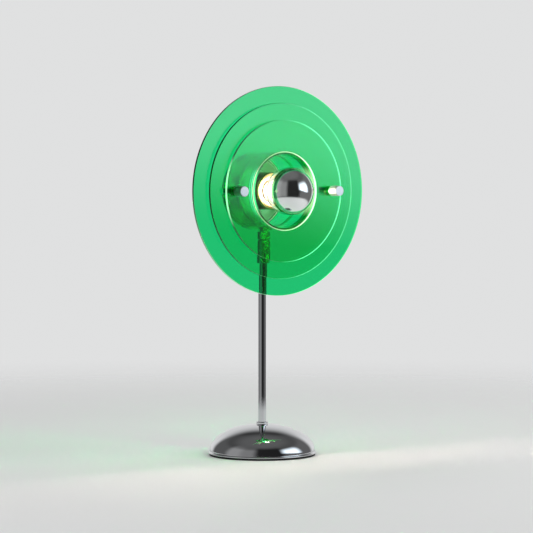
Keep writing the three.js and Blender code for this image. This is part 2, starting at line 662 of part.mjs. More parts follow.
// The rear tube has a rebate at its front end and a hole for the neck in its underside.
function rearTube() {
  const rebate = shellBore + SPIGOT_WALL + SEAT_GAP;
  const rebateBack = TUBE_JOINT - SPIGOT_LENGTH - SEAT_GAP;
  const back = plateStep + SEAT_GAP;
  const body = turned([
    [shellBore, back],
    [SHELL_RADIUS, back],
    [SHELL_RADIUS, TUBE_JOINT],
    [rebate, TUBE_JOINT],
    [rebate, rebateBack],
    [shellBore, rebateBack],
  ], SHELL_SIDES, true);
  const hole = rod(nippleHoleRadius, 0, SHELL_RADIUS + CUT_OVERRUN, ROUND_SIDES);
  return cut(body, hole.rotateX(Math.PI / 2));
}

function frontTube() {
  const seat = TUBE_JOINT + SEAT_GAP;
  const spigot = shellBore + SPIGOT_WALL;
  return turned([
    [shellBore, TUBE_JOINT - SPIGOT_LENGTH],
    [spigot, TUBE_JOINT - SPIGOT_LENGTH],
    [spigot, seat],
    [SHELL_RADIUS, seat],
    [SHELL_RADIUS, frontTubeEnd],
    [shellBore, frontTubeEnd],
  ], SHELL_SIDES, true);
}

function disc(row) {
  const outline = circle(DISC_RADIUS + row * DISC_STEP, DISC_SIDES);
  const holes = [
    circle(SHELL_RADIUS + SEAT_GAP, SHELL_SIDES),
    circle(rodHoleRadius, SMALL_SIDES, -studOffset),
    circle(rodHoleRadius, SMALL_SIDES, studOffset),
  ];
  return flat(outline, holes, discBack(row), discBack(row) + DISC_THICKNESS);
}

function buildStud(side) {
  const stud = new THREE.Group();
  const washerBack = DISC_FRONT + SEAT_GAP;
  const capBack = washerBack + STUD_WASHER_THICKNESS + SEAT_GAP;
  const capFront = capBack + FRONT_CAP_LENGTH;
  const rearFront = stackBack - SEAT_GAP;
  const rearBack = rearFront - REAR_CAP_LENGTH;
  const spacerPlace = (row) => discBack(row) - SEAT_GAP - SPACER_THICKNESS;
  add(stud, `stud_cap_front_${side}`, chrome, turned([
    [0, capBack + rodBite + SEAT_GAP],
    [rodHoleRadius, capBack + rodBite + SEAT_GAP],
    [rodHoleRadius, capBack],
    [FRONT_CAP_RADIUS, capBack],
    [FRONT_CAP_RADIUS, capFront - FRONT_CAP_CHAMFER],
    [FRONT_CAP_RADIUS - FRONT_CAP_CHAMFER, capFront],
    [0, capFront],
  ], ROUND_SIDES));
  add(stud, `stud_washer_${side}`, blackPlastic,
    sleeve(rodHoleRadius + STUD_WASHER_WIDTH, rodHoleRadius, washerBack,
      washerBack + STUD_WASHER_THICKNESS));
  ["front", "rear"].forEach((place, row) =>
    add(stud, `stud_spacer_${place}_${side}`, acrylic,
      sleeve(rodHoleRadius + SPACER_WIDTH, rodHoleRadius, spacerPlace(row),
        spacerPlace(row) + SPACER_THICKNESS)));
  add(stud, `stud_cap_rear_${side}`, chrome, turned([
    [0, rearBack],
    [REAR_CAP_RADIUS, rearBack],
    [REAR_CAP_RADIUS, rearFront],
    [rodHoleRadius, rearFront],
    [rodHoleRadius, rearFront - rodBite - SEAT_GAP],
    [0, rearFront - rodBite - SEAT_GAP],
  ], ROUND_SIDES));
  add(stud, `stud_rod_${side}`, steel, rod(ROD_RADIUS, rearFront - rodBite, capBack + rodBite));
  return stud;
}

function housing() {
  const cup = turned([
    [nippleHoleRadius, housingBack],
    [housingRadius, housingBack],
    [housingRadius, housingFront],
    [housingBore, housingFront],
    [housingBore, housingFloor],
    [nippleHoleRadius, housingFloor],
  ], HOLDER_SIDES, true);
  const entry = rod(LEAD_RADIUS + ENTRY_CLEARANCE, 0, housingRadius + CUT_OVERRUN);
  return cut(cup, entry.rotateX(Math.PI / 2).translate(0, -leadEntry, 0));
}

function holderRing() {
  const skirtBore = ringSkirtRadius - RING_SKIRT_WALL;
  const skirtBack = ringBack - RING_SKIRT_LENGTH;
  return turned([
    [skirtBore, skirtBack],
    [ringSkirtRadius, skirtBack],
    [ringSkirtRadius, ringBack],
    [housingRadius, ringBack],
    [housingRadius, ringFront - RING_EDGE],
    [housingRadius - RING_EDGE, ringFront],
    [ringBoreRadius + RING_EDGE, ringFront],
    [ringBoreRadius, ringFront - RING_EDGE],
    [ringBoreRadius, ringBack],
    [skirtBore, ringBack],
  ], HOLDER_SIDES, true);
}

function holderCore() {
  const bore = screwShellRadius + SEAT_GAP;
  return turned([
    [RIVET_RADIUS + SEAT_GAP, coreBack],
    [coreRadius, coreBack],
    [coreRadius, coreFront],
    [bore, coreFront],
    [bore, coreBack + CORE_FLOOR],
    [RIVET_RADIUS + SEAT_GAP, coreBack + CORE_FLOOR],
  ], HOLDER_SIDES, true);
}

function buildHolder() {
  const holder = new THREE.Group();
  const washerFront = plateBack - SEAT_GAP;
  const washerBack = washerFront - HOLDER_WASHER_THICKNESS;
  const nutFront = washerBack - SEAT_GAP;
  const nutBack = nutFront - HOLDER_NUT_HEIGHT;
  add(holder, "lampholder_housing", blackPlastic, housing());
  add(holder, "lampholder_ring", bronze, holderRing());
  add(holder, "lampholder_core", ceramic, holderCore());
  add(holder, "lampholder_screw_shell", brass,
    sleeve(screwShellRadius, screwShellBore, screwShellBack, screwShellBack + SCREW_SHELL_LENGTH,
      ROUND_SIDES));
  add(holder, "lampholder_contact", brass, turned([
    [0, coreBack - CONTACT_THICKNESS],
    [RIVET_RADIUS, coreBack - CONTACT_THICKNESS],
    [RIVET_RADIUS, contactBack],
    [CONTACT_RADIUS, contactBack],
    [CONTACT_RADIUS, contactFront],
    [0, contactFront],
  ], SMALL_SIDES));
  add(holder, "lampholder_nipple", brass,
    sleeve(nippleRadius, NIPPLE_BORE_RADIUS, nutBack - HOLDER_NIPPLE_STICKOUT,
      housingFloor + HOLDER_NIPPLE_INSIDE));
  add(holder, "lampholder_washer", steel,
    sleeve(nippleHoleRadius + HOLDER_WASHER_WIDTH, nippleHoleRadius, washerBack, washerFront, ROUND_SIDES));
  add(holder, "lampholder_nut", steel, hexNut(nippleHoleRadius, HOLDER_NUT_WALL, nutBack, nutFront));
  return holder;
}

// Points on a circle round the globe's centre, between two angles over its widest ring.
function globeArc(radius, first, last, steps) {
  return Array.from({ length: steps + 1 }, (_, step) => {
    const angle = first + ((last - first) * step) / steps;
    const across = step === steps && last === Math.PI / 2 ? 0 : radius * Math.cos(angle);
    return [across, globeCentre + radius * Math.sin(angle)];
  });
}

// The globe's outline from the neck's flare to the crown, with a point where the silvering starts.
function globeOutline(radius, flareRadius) {
  const flare = -Math.acos(flareRadius / radius);
  const back = globeArc(radius, flare, mirrorAngle, GLOBE_STEPS);
  return [...back.slice(0, -1), ...globeArc(radius, mirrorAngle, Math.PI / 2, CROWN_STEPS)];
}

// The glass runs up the neck, flares into the globe and comes back inside, open at the neck.
function bulbGlass() {
  const bend = bulbCapFront + GLASS_WALL;
  return turned([
    ...globeOutline(GLOBE_RADIUS - GLASS_WALL, bulbFlareRadius - GLASS_WALL).reverse(),
    [bulbNeckBore, bend],
    [bulbNeckBore, bulbNeckBack],
    [bulbNeckRadius, bulbNeckBack],
    [bulbNeckRadius, bend],
    ...globeOutline(GLOBE_RADIUS, bulbFlareRadius),
  ], GLOBE_SIDES);
}

function bulbMirror() {
  const outerRadius = GLOBE_RADIUS - GLASS_WALL - SEAT_GAP;
  const outer = globeArc(outerRadius, mirrorAngle, Math.PI / 2, CROWN_STEPS);
  const inner = globeArc(outerRadius - MIRROR_THICKNESS, mirrorAngle, Math.PI / 2, CROWN_STEPS);
  return turned([...inner.reverse(), ...outer], GLOBE_SIDES);
}

function filament() {
  const foot = mountFront + SEAT_GAP;
  const crown = foot + FILAMENT_RISE;
  const footOffset = MOUNT_RADIUS / 2;
  return lead([
    new THREE.Vector3(-footOffset, foot, 0),
    new THREE.Vector3(-FILAMENT_SPAN, (foot + crown) / 2, 0),
    new THREE.Vector3(-FILAMENT_SPAN / 2, crown, 0),
    new THREE.Vector3(FILAMENT_SPAN / 2, crown, 0),
    new THREE.Vector3(FILAMENT_SPAN, (foot + crown) / 2, 0),
    new THREE.Vector3(footOffset, foot, 0),
  ], FILAMENT_RADIUS, FILAMENT_SIDES, FILAMENT_STEPS);
}

function buildBulb() {
  const bulb = new THREE.Group();
  add(bulb, "bulb_glass", glass, bulbGlass());
  add(bulb, "bulb_mirror", silver, bulbMirror());
  add(bulb, "bulb_cap", brass,
    sleeve(BULB_CAP_RADIUS, bulbCapBore, bulbCapBack, bulbCapFront, ROUND_SIDES));
  add(bulb, "bulb_insulator", insulator, turned([
    [0, insulatorBack],
    [INSULATOR_BACK_RADIUS, insulatorBack],
    [BULB_CAP_RADIUS, insulatorFront],
    [0, insulatorFront],
  ], ROUND_SIDES));
  add(bulb, "bulb_contact", steel, rod(TIP_RADIUS, tipBack, tipFront));
  add(bulb, "bulb_mount", glass, turned([
    [0, mountBack],
    [bulbNeckBore - SEAT_GAP, mountBack],
    [MOUNT_RADIUS, mountBack + MOUNT_FLARE_LENGTH],
    [MOUNT_RADIUS, mountFront],
    [0, mountFront],
  ], SMALL_SIDES));
  add(bulb, "bulb_filament", tungsten, filament());
  return bulb;
}

// In the head's own frame Y runs forwards along its axis and Z runs down.
function buildHead() {
  const head = new THREE.Group();
  head.position.z = HEAD_HEIGHT;
  head.rotation.x = Math.PI;
  add(head, "back_plate", brushed, backPlate());
  add(head, "rear_tube", acrylic, rearTube());
  add(head, "front_tube", acrylic, frontTube());
  DISC_NAMES.forEach((size, row) => add(head, `disc_${size}`, acrylic, disc(row)));
  [["left", -1], ["right", 1]].forEach(([side, sign]) => {
    const stud = buildStud(side);
    stud.position.x = sign * studOffset;
    head.add(stud);
  });
  head.add(buildHolder(), buildBulb());
  return head;
}

const lamp = new THREE.Group();
const upright = new THREE.Group(); // its Y runs up the stem
upright.rotation.x = Math.PI / 2;
upright.add(buildFoot(), buildStem(), buildNeck());
lamp.add(upright, buildHead());

export default lamp;
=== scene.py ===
# %% [markdown]
# # A green ring lamp, dressed for its portrait
# The engineering model of the lamp is already there: it holds every solid, joint and size. This
# lesson gives it its looks. Each visible solid is coarse, because it was made for collision and
# mass, so each gets a fine surface of its own in the same place, and every surface gets a finish
# made of shader nodes. All lengths are metres, +Z is up, and the head faces -Y.

# %% Load the frame
import math

import bpy
import numpy as np
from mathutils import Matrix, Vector


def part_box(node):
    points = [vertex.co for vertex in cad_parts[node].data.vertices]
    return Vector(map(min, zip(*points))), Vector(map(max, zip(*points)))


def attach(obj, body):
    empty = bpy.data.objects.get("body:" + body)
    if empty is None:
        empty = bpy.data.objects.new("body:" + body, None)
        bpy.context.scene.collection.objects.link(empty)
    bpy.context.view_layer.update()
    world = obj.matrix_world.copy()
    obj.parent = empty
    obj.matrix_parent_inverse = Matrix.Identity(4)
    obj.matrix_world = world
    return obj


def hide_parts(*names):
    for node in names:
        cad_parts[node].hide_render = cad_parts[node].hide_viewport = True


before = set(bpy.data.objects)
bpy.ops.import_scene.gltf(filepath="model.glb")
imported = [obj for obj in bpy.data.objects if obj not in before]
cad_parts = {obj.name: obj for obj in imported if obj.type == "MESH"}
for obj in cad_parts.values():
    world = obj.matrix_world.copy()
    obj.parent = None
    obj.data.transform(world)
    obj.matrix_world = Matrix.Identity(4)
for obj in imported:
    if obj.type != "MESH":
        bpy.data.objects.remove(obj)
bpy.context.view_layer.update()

MM = 0.001
STAND = "stand"
HEAD = "head"
BULB = "bulb"

# %% [markdown]
# ## The camera
# The photograph was taken through a long lens from the left of the lamp's face, from slightly
# above its foot. The lens and one small shift place the stem where the photograph has it.

# %% Camera
VIEW_TURN = math.radians(-36.0)
VIEW_TILT = math.radians(-2.27)
VIEW_DISTANCE = 3.0
VIEW_HEIGHT = 0.356
SENSOR_WIDTH = 36
LENS_LENGTH = 161.5
STEM_SHIFT = 0.0081


def add_object(name, data):
    made = bpy.data.objects.new(name, data)
    bpy.context.scene.collection.objects.link(made)
    return made


to_camera = np.array([math.sin(VIEW_TURN), -math.cos(VIEW_TURN), 0.0])
to_right = np.array([math.cos(VIEW_TURN), math.sin(VIEW_TURN), 0.0])
camera = add_object("portrait", bpy.data.cameras.new("portrait"))
camera.data.sensor_width = SENSOR_WIDTH
camera.data.lens = LENS_LENGTH
camera.data.shift_x = STEM_SHIFT
camera.location = Vector(to_camera * VIEW_DISTANCE) + Vector((0, 0, VIEW_HEIGHT))
camera.rotation_euler = (math.pi / 2 + VIEW_TILT, 0, VIEW_TURN)
bpy.context.scene.camera = camera
print("camera at", [round(x, 3) for x in camera.location])

# %% [markdown]
# ## From a grid of points to a surface
# Almost every piece here was turned on a lathe, so one idea makes them all: a grid of points whose
# rows follow an outline and whose columns go round an axis. The grid is worked out as one array,
# and each vertex gets the normal of the smooth surface, so that a mirror finish shows no facets.

# %% Normals of a grid
MERGE = 1e-7
NO_LENGTH = 1e-30
POLE_AREA = 1e-16
GRID_UV = "grid"


def unit(vectors):
    """Each vector divided by its own length."""
    return vectors / np.maximum(np.linalg.norm(vectors, axis=-1, keepdims=True), NO_LENGTH)


def grid_normals(points, wrap_rows):
    """Normal = (step along the columns) x (step along the rows), each step taken across both
    neighbours, so that a long flat weighs more than the short rounding beside it. A pole takes
    the mean of the row beside it."""
    ahead, behind = np.roll(points, -1, 0), np.roll(points, 1, 0)
    if not wrap_rows:
        ahead[-1] = points[-1]
        behind[0] = points[0]
    crossed = np.cross(np.roll(points, -1, 1) - np.roll(points, 1, 1), ahead - behind)
    normals = unit(crossed)
    for pole, beside in ((0, 1), (-1, -2)):
        if np.linalg.norm(crossed[pole], axis=-1).max() < POLE_AREA:
            normals[pole] = normals[beside].mean(axis=0)
    return normals


# %% Mesh of a grid
def surface(name, points, wrap_rows=False):
    """Mesh of a (rows, columns, 3) grid that goes round. Cell (i, j) is the quad (i, j), (i, j+1),
    (i+1, j+1), (i+1, j). Points that coincide, as at a pole, become one vertex, and their cells
    triangles."""
    rows, columns = points.shape[:2]
    flat = points.reshape(-1, 3)
    keys = np.round(flat / MERGE).astype(np.int64)
    _, first, inverse = np.unique(keys, axis=0, return_index=True, return_inverse=True)
    inverse = inverse.ravel()
    last_row = rows if wrap_rows else rows - 1
    i, j = (part.ravel() for part in np.meshgrid(np.arange(last_row), np.arange(columns), indexing="ij"))
    row, next_row, next_column = i * columns, (i + 1) % rows * columns, (j + 1) % columns
    cells = inverse[np.stack([row + j, row + next_column, next_row + next_column, next_row + j], 1)]
    uv = np.stack(
        [np.stack([j, j + 1, j + 1, j], 1) / columns, np.stack([i, i, i + 1, i + 1], 1) / rows], 2)
    low, high = cells[:, 0] == cells[:, 1], cells[:, 2] == cells[:, 3]
    kinds = ((~low & ~high, [0, 1, 2, 3]), (low & ~high, [0, 2, 3]), (high & ~low, [0, 1, 2]))
    mesh = bpy.data.meshes.new(name)
    faces = sum((cells[kind][:, corners].tolist() for kind, corners in kinds), [])
    mesh.from_pydata(flat[first].tolist(), [], faces)
    all_uv = np.concatenate([uv[kind][:, corners].reshape(-1, 2) for kind, corners in kinds])
    mesh.uv_layers.new(name=GRID_UV).data.foreach_set("uv", all_uv.ravel().astype(np.float32))
    mesh.shade_smooth()
    merged = np.zeros((len(first), 3))
    np.add.at(merged, inverse, grid_normals(points, wrap_rows).reshape(-1, 3))
    mesh.normals_split_custom_set_from_vertices(unit(merged).tolist())
    return add_object(name, mesh)


# %% Dress a piece
def dress(piece, body, slot, finish, *nodes):
    """The piece moves with a body, takes the given finish and stands for solids. The slot is not used.
    """
    piece.data.materials.clear()
    piece.data.materials.append(finish)
    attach(piece, body)
    if nodes:
        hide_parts(*nodes)
    print(f"{piece.name}: {len(piece.data.polygons)} faces")
    return piece


def second_finish(piece, finish, chosen):
    """Gives a finish of its own to the faces whose middle (x, y, z) is chosen."""
    middles = np.zeros(len(piece.data.polygons) * 3)
    piece.data.polygons.foreach_get("center", middles)
    piece.data.materials.append(finish)
    piece.data.polygons.foreach_set(
        "material_index", chosen(*middles.reshape(-1, 3).T).astype(np.int32))


# %% [markdown]
# ## Outlines with rounded corners
# Real edges are never perfectly sharp, and it is the tiny rounding that catches the light. An
# outline is written with its few corners, as the maker's drawing has them, and every corner is
# then replaced by an arc that touches both of its sides. An outline that starts on the axis also
# ends there. Any other one is a loop.

# %% Rounded corners
ARC_STEPS = 5
TINY = 0.1 * MM
SMALL = 0.15 * MM
SLIGHT = 0.2 * MM
EDGE = 0.25 * MM
MOST_OF_A_SIDE = 0.45
SAME_PLACE = 1e-9


def rounded(corners, radius):
    """Each corner becomes an arc. With u and v the unit vectors to its neighbours and h half the
    angle between them, the arc starts radius / tan h along u, ends as far along v, and its centre
    lies radius / sin h along the bisector. Ends on the axis stay as they are."""
    points = np.array(corners, float)
    radius = np.broadcast_to(np.asarray(radius, float), len(points)).copy()
    if points[0, 0] == 0:
        radius[[0, -1]] = 0
    u, v = np.roll(points, 1, 0) - points, np.roll(points, -1, 0) - points
    room = MOST_OF_A_SIDE * np.minimum(np.linalg.norm(u, axis=1), np.linalg.norm(v, axis=1))
    u, v = unit(u), unit(v)
    half = np.arccos(np.clip((u * v).sum(1), -1, 1)) / 2
    radius = np.minimum(radius, room * np.tan(half))
    start = points + u * (radius / np.tan(half))[:, None]
    centre = points + unit(u + v) * (radius / np.sin(half))[:, None]
    turn = np.sign(u[:, 0] * v[:, 1] - u[:, 1] * v[:, 0]) * (2 * half - math.pi)
    angle = turn[:, None] * np.linspace(0, 1, ARC_STEPS + 1)
    arm = start - centre
    cos, sin = np.cos(angle), np.sin(angle)
    outline = np.stack([
        centre[:, :1] + arm[:, :1] * cos - arm[:, 1:] * sin,
        centre[:, 1:] + arm[:, :1] * sin + arm[:, 1:] * cos,
    ], 2).reshape(-1, 2)
    keep = np.linalg.norm(outline - np.roll(outline, 1, 0), axis=1) > SAME_PLACE
    keep[0] = True
    return outline[keep]


# %% Common outlines
def stepped(bore, start, *steps):
    """Corners of a shape whose outside has a radius up to each next place on the axis."""
    corners = [[bore, start]]
    for radius, end in steps:
        corners += [[radius, start], [radius, end]]
        start = end
    return corners + [[bore, start]]


def cup(hole, bore, radius, low, high, floor):
    """Corners of a cup: a wall between bore and radius, and a floor with a hole in it."""
    return [[hole, low], [radius, low], [radius, high], [bore, high], [bore, floor], [hole, floor]]


def ellipse_arc(across, rise, base, first, last, steps, middle=0.0):
    """(middle + across cos t, base + rise sin t) for t from first to last. The cosine of a
    quarter turn is made exactly 0, so that the arc ends on the axis."""
    t = np.linspace(first, last, steps)
    cosine = np.where(np.abs(np.cos(t)) < SAME_PLACE, 0, np.cos(t))
    return np.stack([middle + across * cosine, base + rise * np.sin(t)], 1)


# %% [markdown]
# ## Turning
# A turned piece is its outline carried round an axis. Pieces of the foot and the stem stand
# upright, and those of the head lie along its axis, which runs level to the front. Six flats turn
# a round row into a hexagon, and a screw thread is a ridge that climbs as it goes round.

# %% Places on the lamp
SIDES = 128
HEX = 6


def upright(x, y, along):
    return np.stack([x, y, along], -1)


def facing(height, offset=0.0):
    """Places a turned piece with its axis level, so that 'along' counts forwards to -Y."""
    return lambda x, y, along: np.stack([x + offset, -along, y + height], -1)


# %% Turning with flats and threads
def refined(outline, first, last, pitch):
    """The outline with extra points every pitch between two places, for a thread to show."""
    pieces = []
    for start, end in zip(outline, np.roll(outline, -1, 0)):
        long_run = abs(end[0] - start[0]) < SAME_PLACE and abs(end[1] - start[1]) > 2 * pitch
        inside = min(start[1], end[1]) < last and max(start[1], end[1]) > first
        count = int(abs(end[1] - start[1]) / pitch) if long_run and inside else 1
        pieces.append(start + (end - start) * (np.arange(count) / count)[:, None])
    return np.concatenate(pieces)


def turned(name, outline, place, sides=SIDES, six_sided=None, thread=None):
    """Point (i, j) = (r cos t, r sin t) across the axis and a along it, where (r, a) is outline
    point i and t is 2 pi j / sides. six_sided holds a share for each outline point, from round at
    0 to hexagonal at 1: a hexagon's edge is 1 / cos of the angle from the middle of its nearest
    flat away. thread = (pitch, depth, first, last, inward, rows in a pitch) adds
    inward * depth * (1 - cos(t - 2 pi a / pitch)) / 2 between two places on the axis."""
    if thread is not None:
        pitch, depth, first, last, inward, rows = thread
        outline = refined(outline, first, last, pitch / rows)
    angle = 2 * math.pi * np.arange(sides) / sides
    radius = np.repeat(outline[:, :1], sides, 1)
    along = np.repeat(outline[:, 1:], sides, 1)
    if six_sided is not None:
        sector = 2 * math.pi / HEX
        share = np.asarray(six_sided)[:, None]
        radius = radius * (1 - share + share / np.cos(angle % sector - sector / 2)[None, :])
    if thread is not None:
        run = np.clip(np.minimum(along - first, last - along) / pitch, 0, 1)
        ridge = (1 - np.cos(angle[None, :] - 2 * math.pi * along / pitch)) / 2
        radius = radius + inward * depth * run * ridge
    points = place(radius * np.cos(angle), radius * np.sin(angle), along)
    return surface(name, points, wrap_rows=outline[0, 0] > 0)


def lathe(name, outline, place, body, slot, finish, *nodes, **how):
    """A turned piece, dressed at once."""
    return dress(turned(name, outline, place, **how), body, slot, finish, *nodes)


# %% Sizes of the solids
def size_up(node):
    """(radius, lowest, highest) of an upright round solid."""
    low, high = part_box(node)
    return (high.x - low.x) / 2, low.z, high.z


def size_along(node):
    """(radius, back, front) of a round solid that lies along the head, counted forwards."""
    low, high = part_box(node)
    return (high.x - low.x) / 2, -high.y, -low.y


def ring_of(node, bore, rounding, size=size_along):
    """Outline of a plain ring, or of a disc where the bore is 0, as large as a solid."""
    radius, low, high = size(node)
    return rounded(stepped(bore, low, (radius, high)), rounding)


shell_low, shell_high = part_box("front_tube")
HEAD_HEIGHT = (shell_low.z + shell_high.z) / 2
head_centre = (0, 0, -HEAD_HEIGHT)
head_place = facing(HEAD_HEIGHT)
shell_radius, front_tube_back, front_tube_front = size_along("front_tube")
print("head axis at", round(HEAD_HEIGHT, 4))

# %% [markdown]
# ## Holes
# A few pieces have holes away from their own axis: the ring plates for their studs, the green tube
# for the neck, the sleeve for its grub screw and the lampholder's cup for its lead. A boolean cut
# is the plainest way to drill, and the normals are then weighted by face size, so that the flats
# stay flat to the eye.

# %% Drilling
SHARP_EDGE = math.radians(50)
FACE_AREA_WEIGHT = 100
DRILL_SIDES = 48


def drilled(piece, cutters):
    """The piece less its cutters, with area-weighted normals. The cutters are used up."""
    for cutter in cutters:
        cut = piece.modifiers.new("drill", "BOOLEAN")
        cut.operation = "DIFFERENCE"
        cut.solver = "EXACT"
        cut.object = cutter
    piece.data.set_sharp_from_angle(angle=SHARP_EDGE)
    weigh = piece.modifiers.new("weigh", "WEIGHTED_NORMAL")
    weigh.keep_sharp = True
    weigh.weight = FACE_AREA_WEIGHT
    bpy.context.view_layer.update()
    graph = bpy.context.evaluated_depsgraph_get()
    cut_mesh = bpy.data.meshes.new_from_object(piece.evaluated_get(graph))
    piece.modifiers.clear()
    piece.data = cut_mesh
    for cutter in cutters:
        bpy.data.objects.remove(cutter)
    return piece


def drill(radius, first, last, place):
    return turned("drill", np.array(stepped(0, first, (radius, last))), place, sides=DRILL_SIDES)


# %% [markdown]
# ## Shared surface effects
# Three effects appear in more than one finish, so each is a node group that is built once:
# handling marks that change how sharp a gloss is, hairline scratches, and the fine rings that a
# lathe tool leaves round an axis. All of them read object coordinates, which are metres here.

# %% Nodes in short
def add_node(tree, kind, inputs=None, **settings):
    """A node with its settings, and with each input linked to a socket or set to a value."""
    node = tree.nodes.new(f"ShaderNode{kind}")
    for label, value in settings.items():
        setattr(node, label, value)
    for label, value in (inputs or {}).items():
        if isinstance(value, bpy.types.NodeSocket):
            tree.links.new(value, node.inputs[label])
        else:
            node.inputs[label].default_value = value
    return node


def math_node(tree, operation, *values):
    return add_node(tree, "Math", dict(enumerate(values)), operation=operation).outputs[0]


def times(tree, *values):
    """The product of all values."""
    product = values[0]
    for value in values[1:]:
        product = math_node(tree, "MULTIPLY", product, value)
    return product


def vector_node(tree, operation, *values):
    made = add_node(tree, "VectorMath", dict(enumerate(values)), operation=operation)
    return made.outputs["Value" if operation in ("LENGTH", "DOT_PRODUCT") else "Vector"]


def parts_of(tree, vector):
    return add_node(tree, "SeparateXYZ", {0: vector}).outputs


# %% Noise and ramps
def noise_node(tree, vector, scale, detail=2.0, rough=0.5):
    settings = {"Vector": vector, "Scale": scale, "Detail": detail, "Roughness": rough}
    return add_node(tree, "TexNoise", settings).outputs["Fac"]


def line_noise(tree, place, scale, detail):
    """Noise that changes along one line only."""
    settings = {"W": place, "Scale": scale, "Detail": detail}
    return add_node(tree, "TexNoise", settings, noise_dimensions="1D").outputs["Fac"]


def between(tree, value, low, high, to_low=0.0, to_high=1.0, kind="LINEAR"):
    """Maps value from (low, high) to (to_low, to_high), each a number or a socket."""
    ends = {"Value": value, "From Min": low, "From Max": high, "To Min": to_low, "To Max": to_high}
    return add_node(tree, "MapRange", ends, interpolation_type=kind).outputs["Result"]


def smooth(tree, value, low, high, to_low=0.0, to_high=1.0):
    return between(tree, value, low, high, to_low, to_high, "SMOOTHSTEP")


def choose(tree, mask, where_off, where_on):
    """One shader where the mask is 0 and the other where it is 1."""
    return add_node(tree, "MixShader", {"Fac": mask, 1: where_off, 2: where_on}).outputs["Shader"]


# %% Node groups
MARKS_START = 0.42
MARKS_FULL = 0.68
MARKS_GRAIN = (4.0, 0.6)
HAIR_STRETCHES = ((1.0, 0.06, 0.3), (0.05, 1.0, 0.2))
HAIR_GRAIN = (3.0, 0.7)
RING_LAYERS = (("Height", 1.0, 2.0), ("Tone", 0.12, 3.0))


def new_group(name, results, **numbers):
    """A group that takes a vector and numbers and puts out named values."""
    group = bpy.data.node_groups.new(name, "ShaderNodeTree")
    group.interface.new_socket("Vector", in_out="INPUT", socket_type="NodeSocketVector")
    for label, value in numbers.items():
        socket = group.interface.new_socket(label, in_out="INPUT", socket_type="NodeSocketFloat")
        socket.default_value = value
    for label in results:
        group.interface.new_socket(label, in_out="OUTPUT", socket_type="NodeSocketFloat")
    return group, group.nodes.new("NodeGroupInput").outputs, group.nodes.new("NodeGroupOutput").inputs


handling, given, out = new_group(
    "Handling marks", ["Roughness"], Scale=60.0, Clean=0.04, Marked=0.1)
broad = noise_node(handling, given["Vector"], given["Scale"], *MARKS_GRAIN)
marked = between(handling, broad, MARKS_START, MARKS_FULL, given["Clean"], given["Marked"])
handling.links.new(marked, out["Roughness"])

hairline, given, out = new_group("Hairlines", ["Height"], Scale=900.0)
heights = [
    noise_node(hairline, vector_node(hairline, "MULTIPLY", given["Vector"], stretch),
               given["Scale"], *HAIR_GRAIN)
    for stretch in HAIR_STRETCHES
]
hairline.links.new(math_node(hairline, "ADD", *heights), out["Height"])

turning, given, out = new_group("Turning marks", ["Height", "Tone"], Rings=2600.0)
place = parts_of(turning, given["Vector"])
squares = [times(turning, place[axis], place[axis]) for axis in ("X", "Z")]
radial = math_node(turning, "SQRT", math_node(turning, "ADD", *squares))
turns = times(turning, radial, given["Rings"])
for label, share, detail in RING_LAYERS:
    turning.links.new(line_noise(turning, times(turning, turns, share), 1.0, detail), out[label])
print("node groups:", [group.name for group in bpy.data.node_groups])

# %% [markdown]
# ## The finishes
# Each finish is one material with one Principled shader. What is the same all over stays on the
# shader's own sockets. What varies over the surface, such as roughness and relief, comes from the
# groups above.

# %% Material helpers
def new_finish(name, color, metallic, roughness, **sockets):
    finish = bpy.data.materials.new(name)
    finish.use_nodes = True
    shader = finish.node_tree.nodes["Principled BSDF"]
    sockets.update(Base_Color=(*color, 1), Metallic=metallic, Roughness=roughness)
    for label, value in sockets.items():
        shader.inputs[label.replace("_", " ")].default_value = value
    print("finish:", name)
    return finish, finish.node_tree, shader


def coordinates(tree, shift=(0, 0, 0)):
    source = add_node(tree, "TexCoord").outputs["Object"]
    return add_node(tree, "Mapping", {"Vector": source, "Location": shift}).outputs["Vector"]


def place_group(tree, group, vector, **values):
    return add_node(tree, "Group", {"Vector": vector, **values}, node_tree=group).outputs


def relief(tree, shader, height, strength, depth):
    bump = add_node(tree, "Bump", {"Strength": strength, "Distance": depth, "Height": height})
    tree.links.new(bump.outputs["Normal"], shader.inputs["Normal"])


def tinted(tree, socket, value, dark, light):
    """A colour between two tones, chosen by a value from 0 to 1."""
    mix = add_node(tree, "Mix", {0: value, 6: (*dark, 1), 7: (*light, 1)}, data_type="RGBA")
    tree.links.new(mix.outputs[2], socket)


# %% A finish in layers
TONE_LOW = 0.3
TONE_HIGH = 0.7


def finish_of(name, color, metallic, roughness, centre=(0, 0, 0), marks=None, scratches=None,
              grain=None, rings=None, gloss=None, tones=None, bump=None, **sockets):
    """A finish in layers, each only where it is given. marks = (scale, roughness where clean,
    where marked) and scratches = (scale, strength, depth) come from the groups. grain is a
    noise's (scale, detail, roughness), and rings is how often turning marks change in a metre.
    One of these two chooses gloss = (low, high) roughness and tones = (dark, light) colours and
    gives the height of bump = (strength, depth)."""
    finish, tree, shader = new_finish(name, color, metallic, roughness, **sockets)
    vector = coordinates(tree, centre)
    if marks:
        scale, clean, marked = marks
        made = place_group(tree, handling, vector, Scale=scale, Clean=clean, Marked=marked)
        tree.links.new(made["Roughness"], shader.inputs["Roughness"])
    if scratches:
        height = place_group(tree, hairline, vector, Scale=scratches[0])["Height"]
        relief(tree, shader, height, *scratches[1:])
    if grain:
        tone = height = noise_node(tree, vector, *grain)
    if rings:
        made = place_group(tree, turning, vector, Rings=rings)
        tone, height = made["Tone"], made["Height"]
    if gloss:
        tree.links.new(between(tree, tone, TONE_LOW, TONE_HIGH, *gloss), shader.inputs["Roughness"])
    if tones:
        tinted(tree, shader.inputs["Base Color"], tone, *tones)
    if bump:
        relief(tree, shader, height, *bump)
    return finish


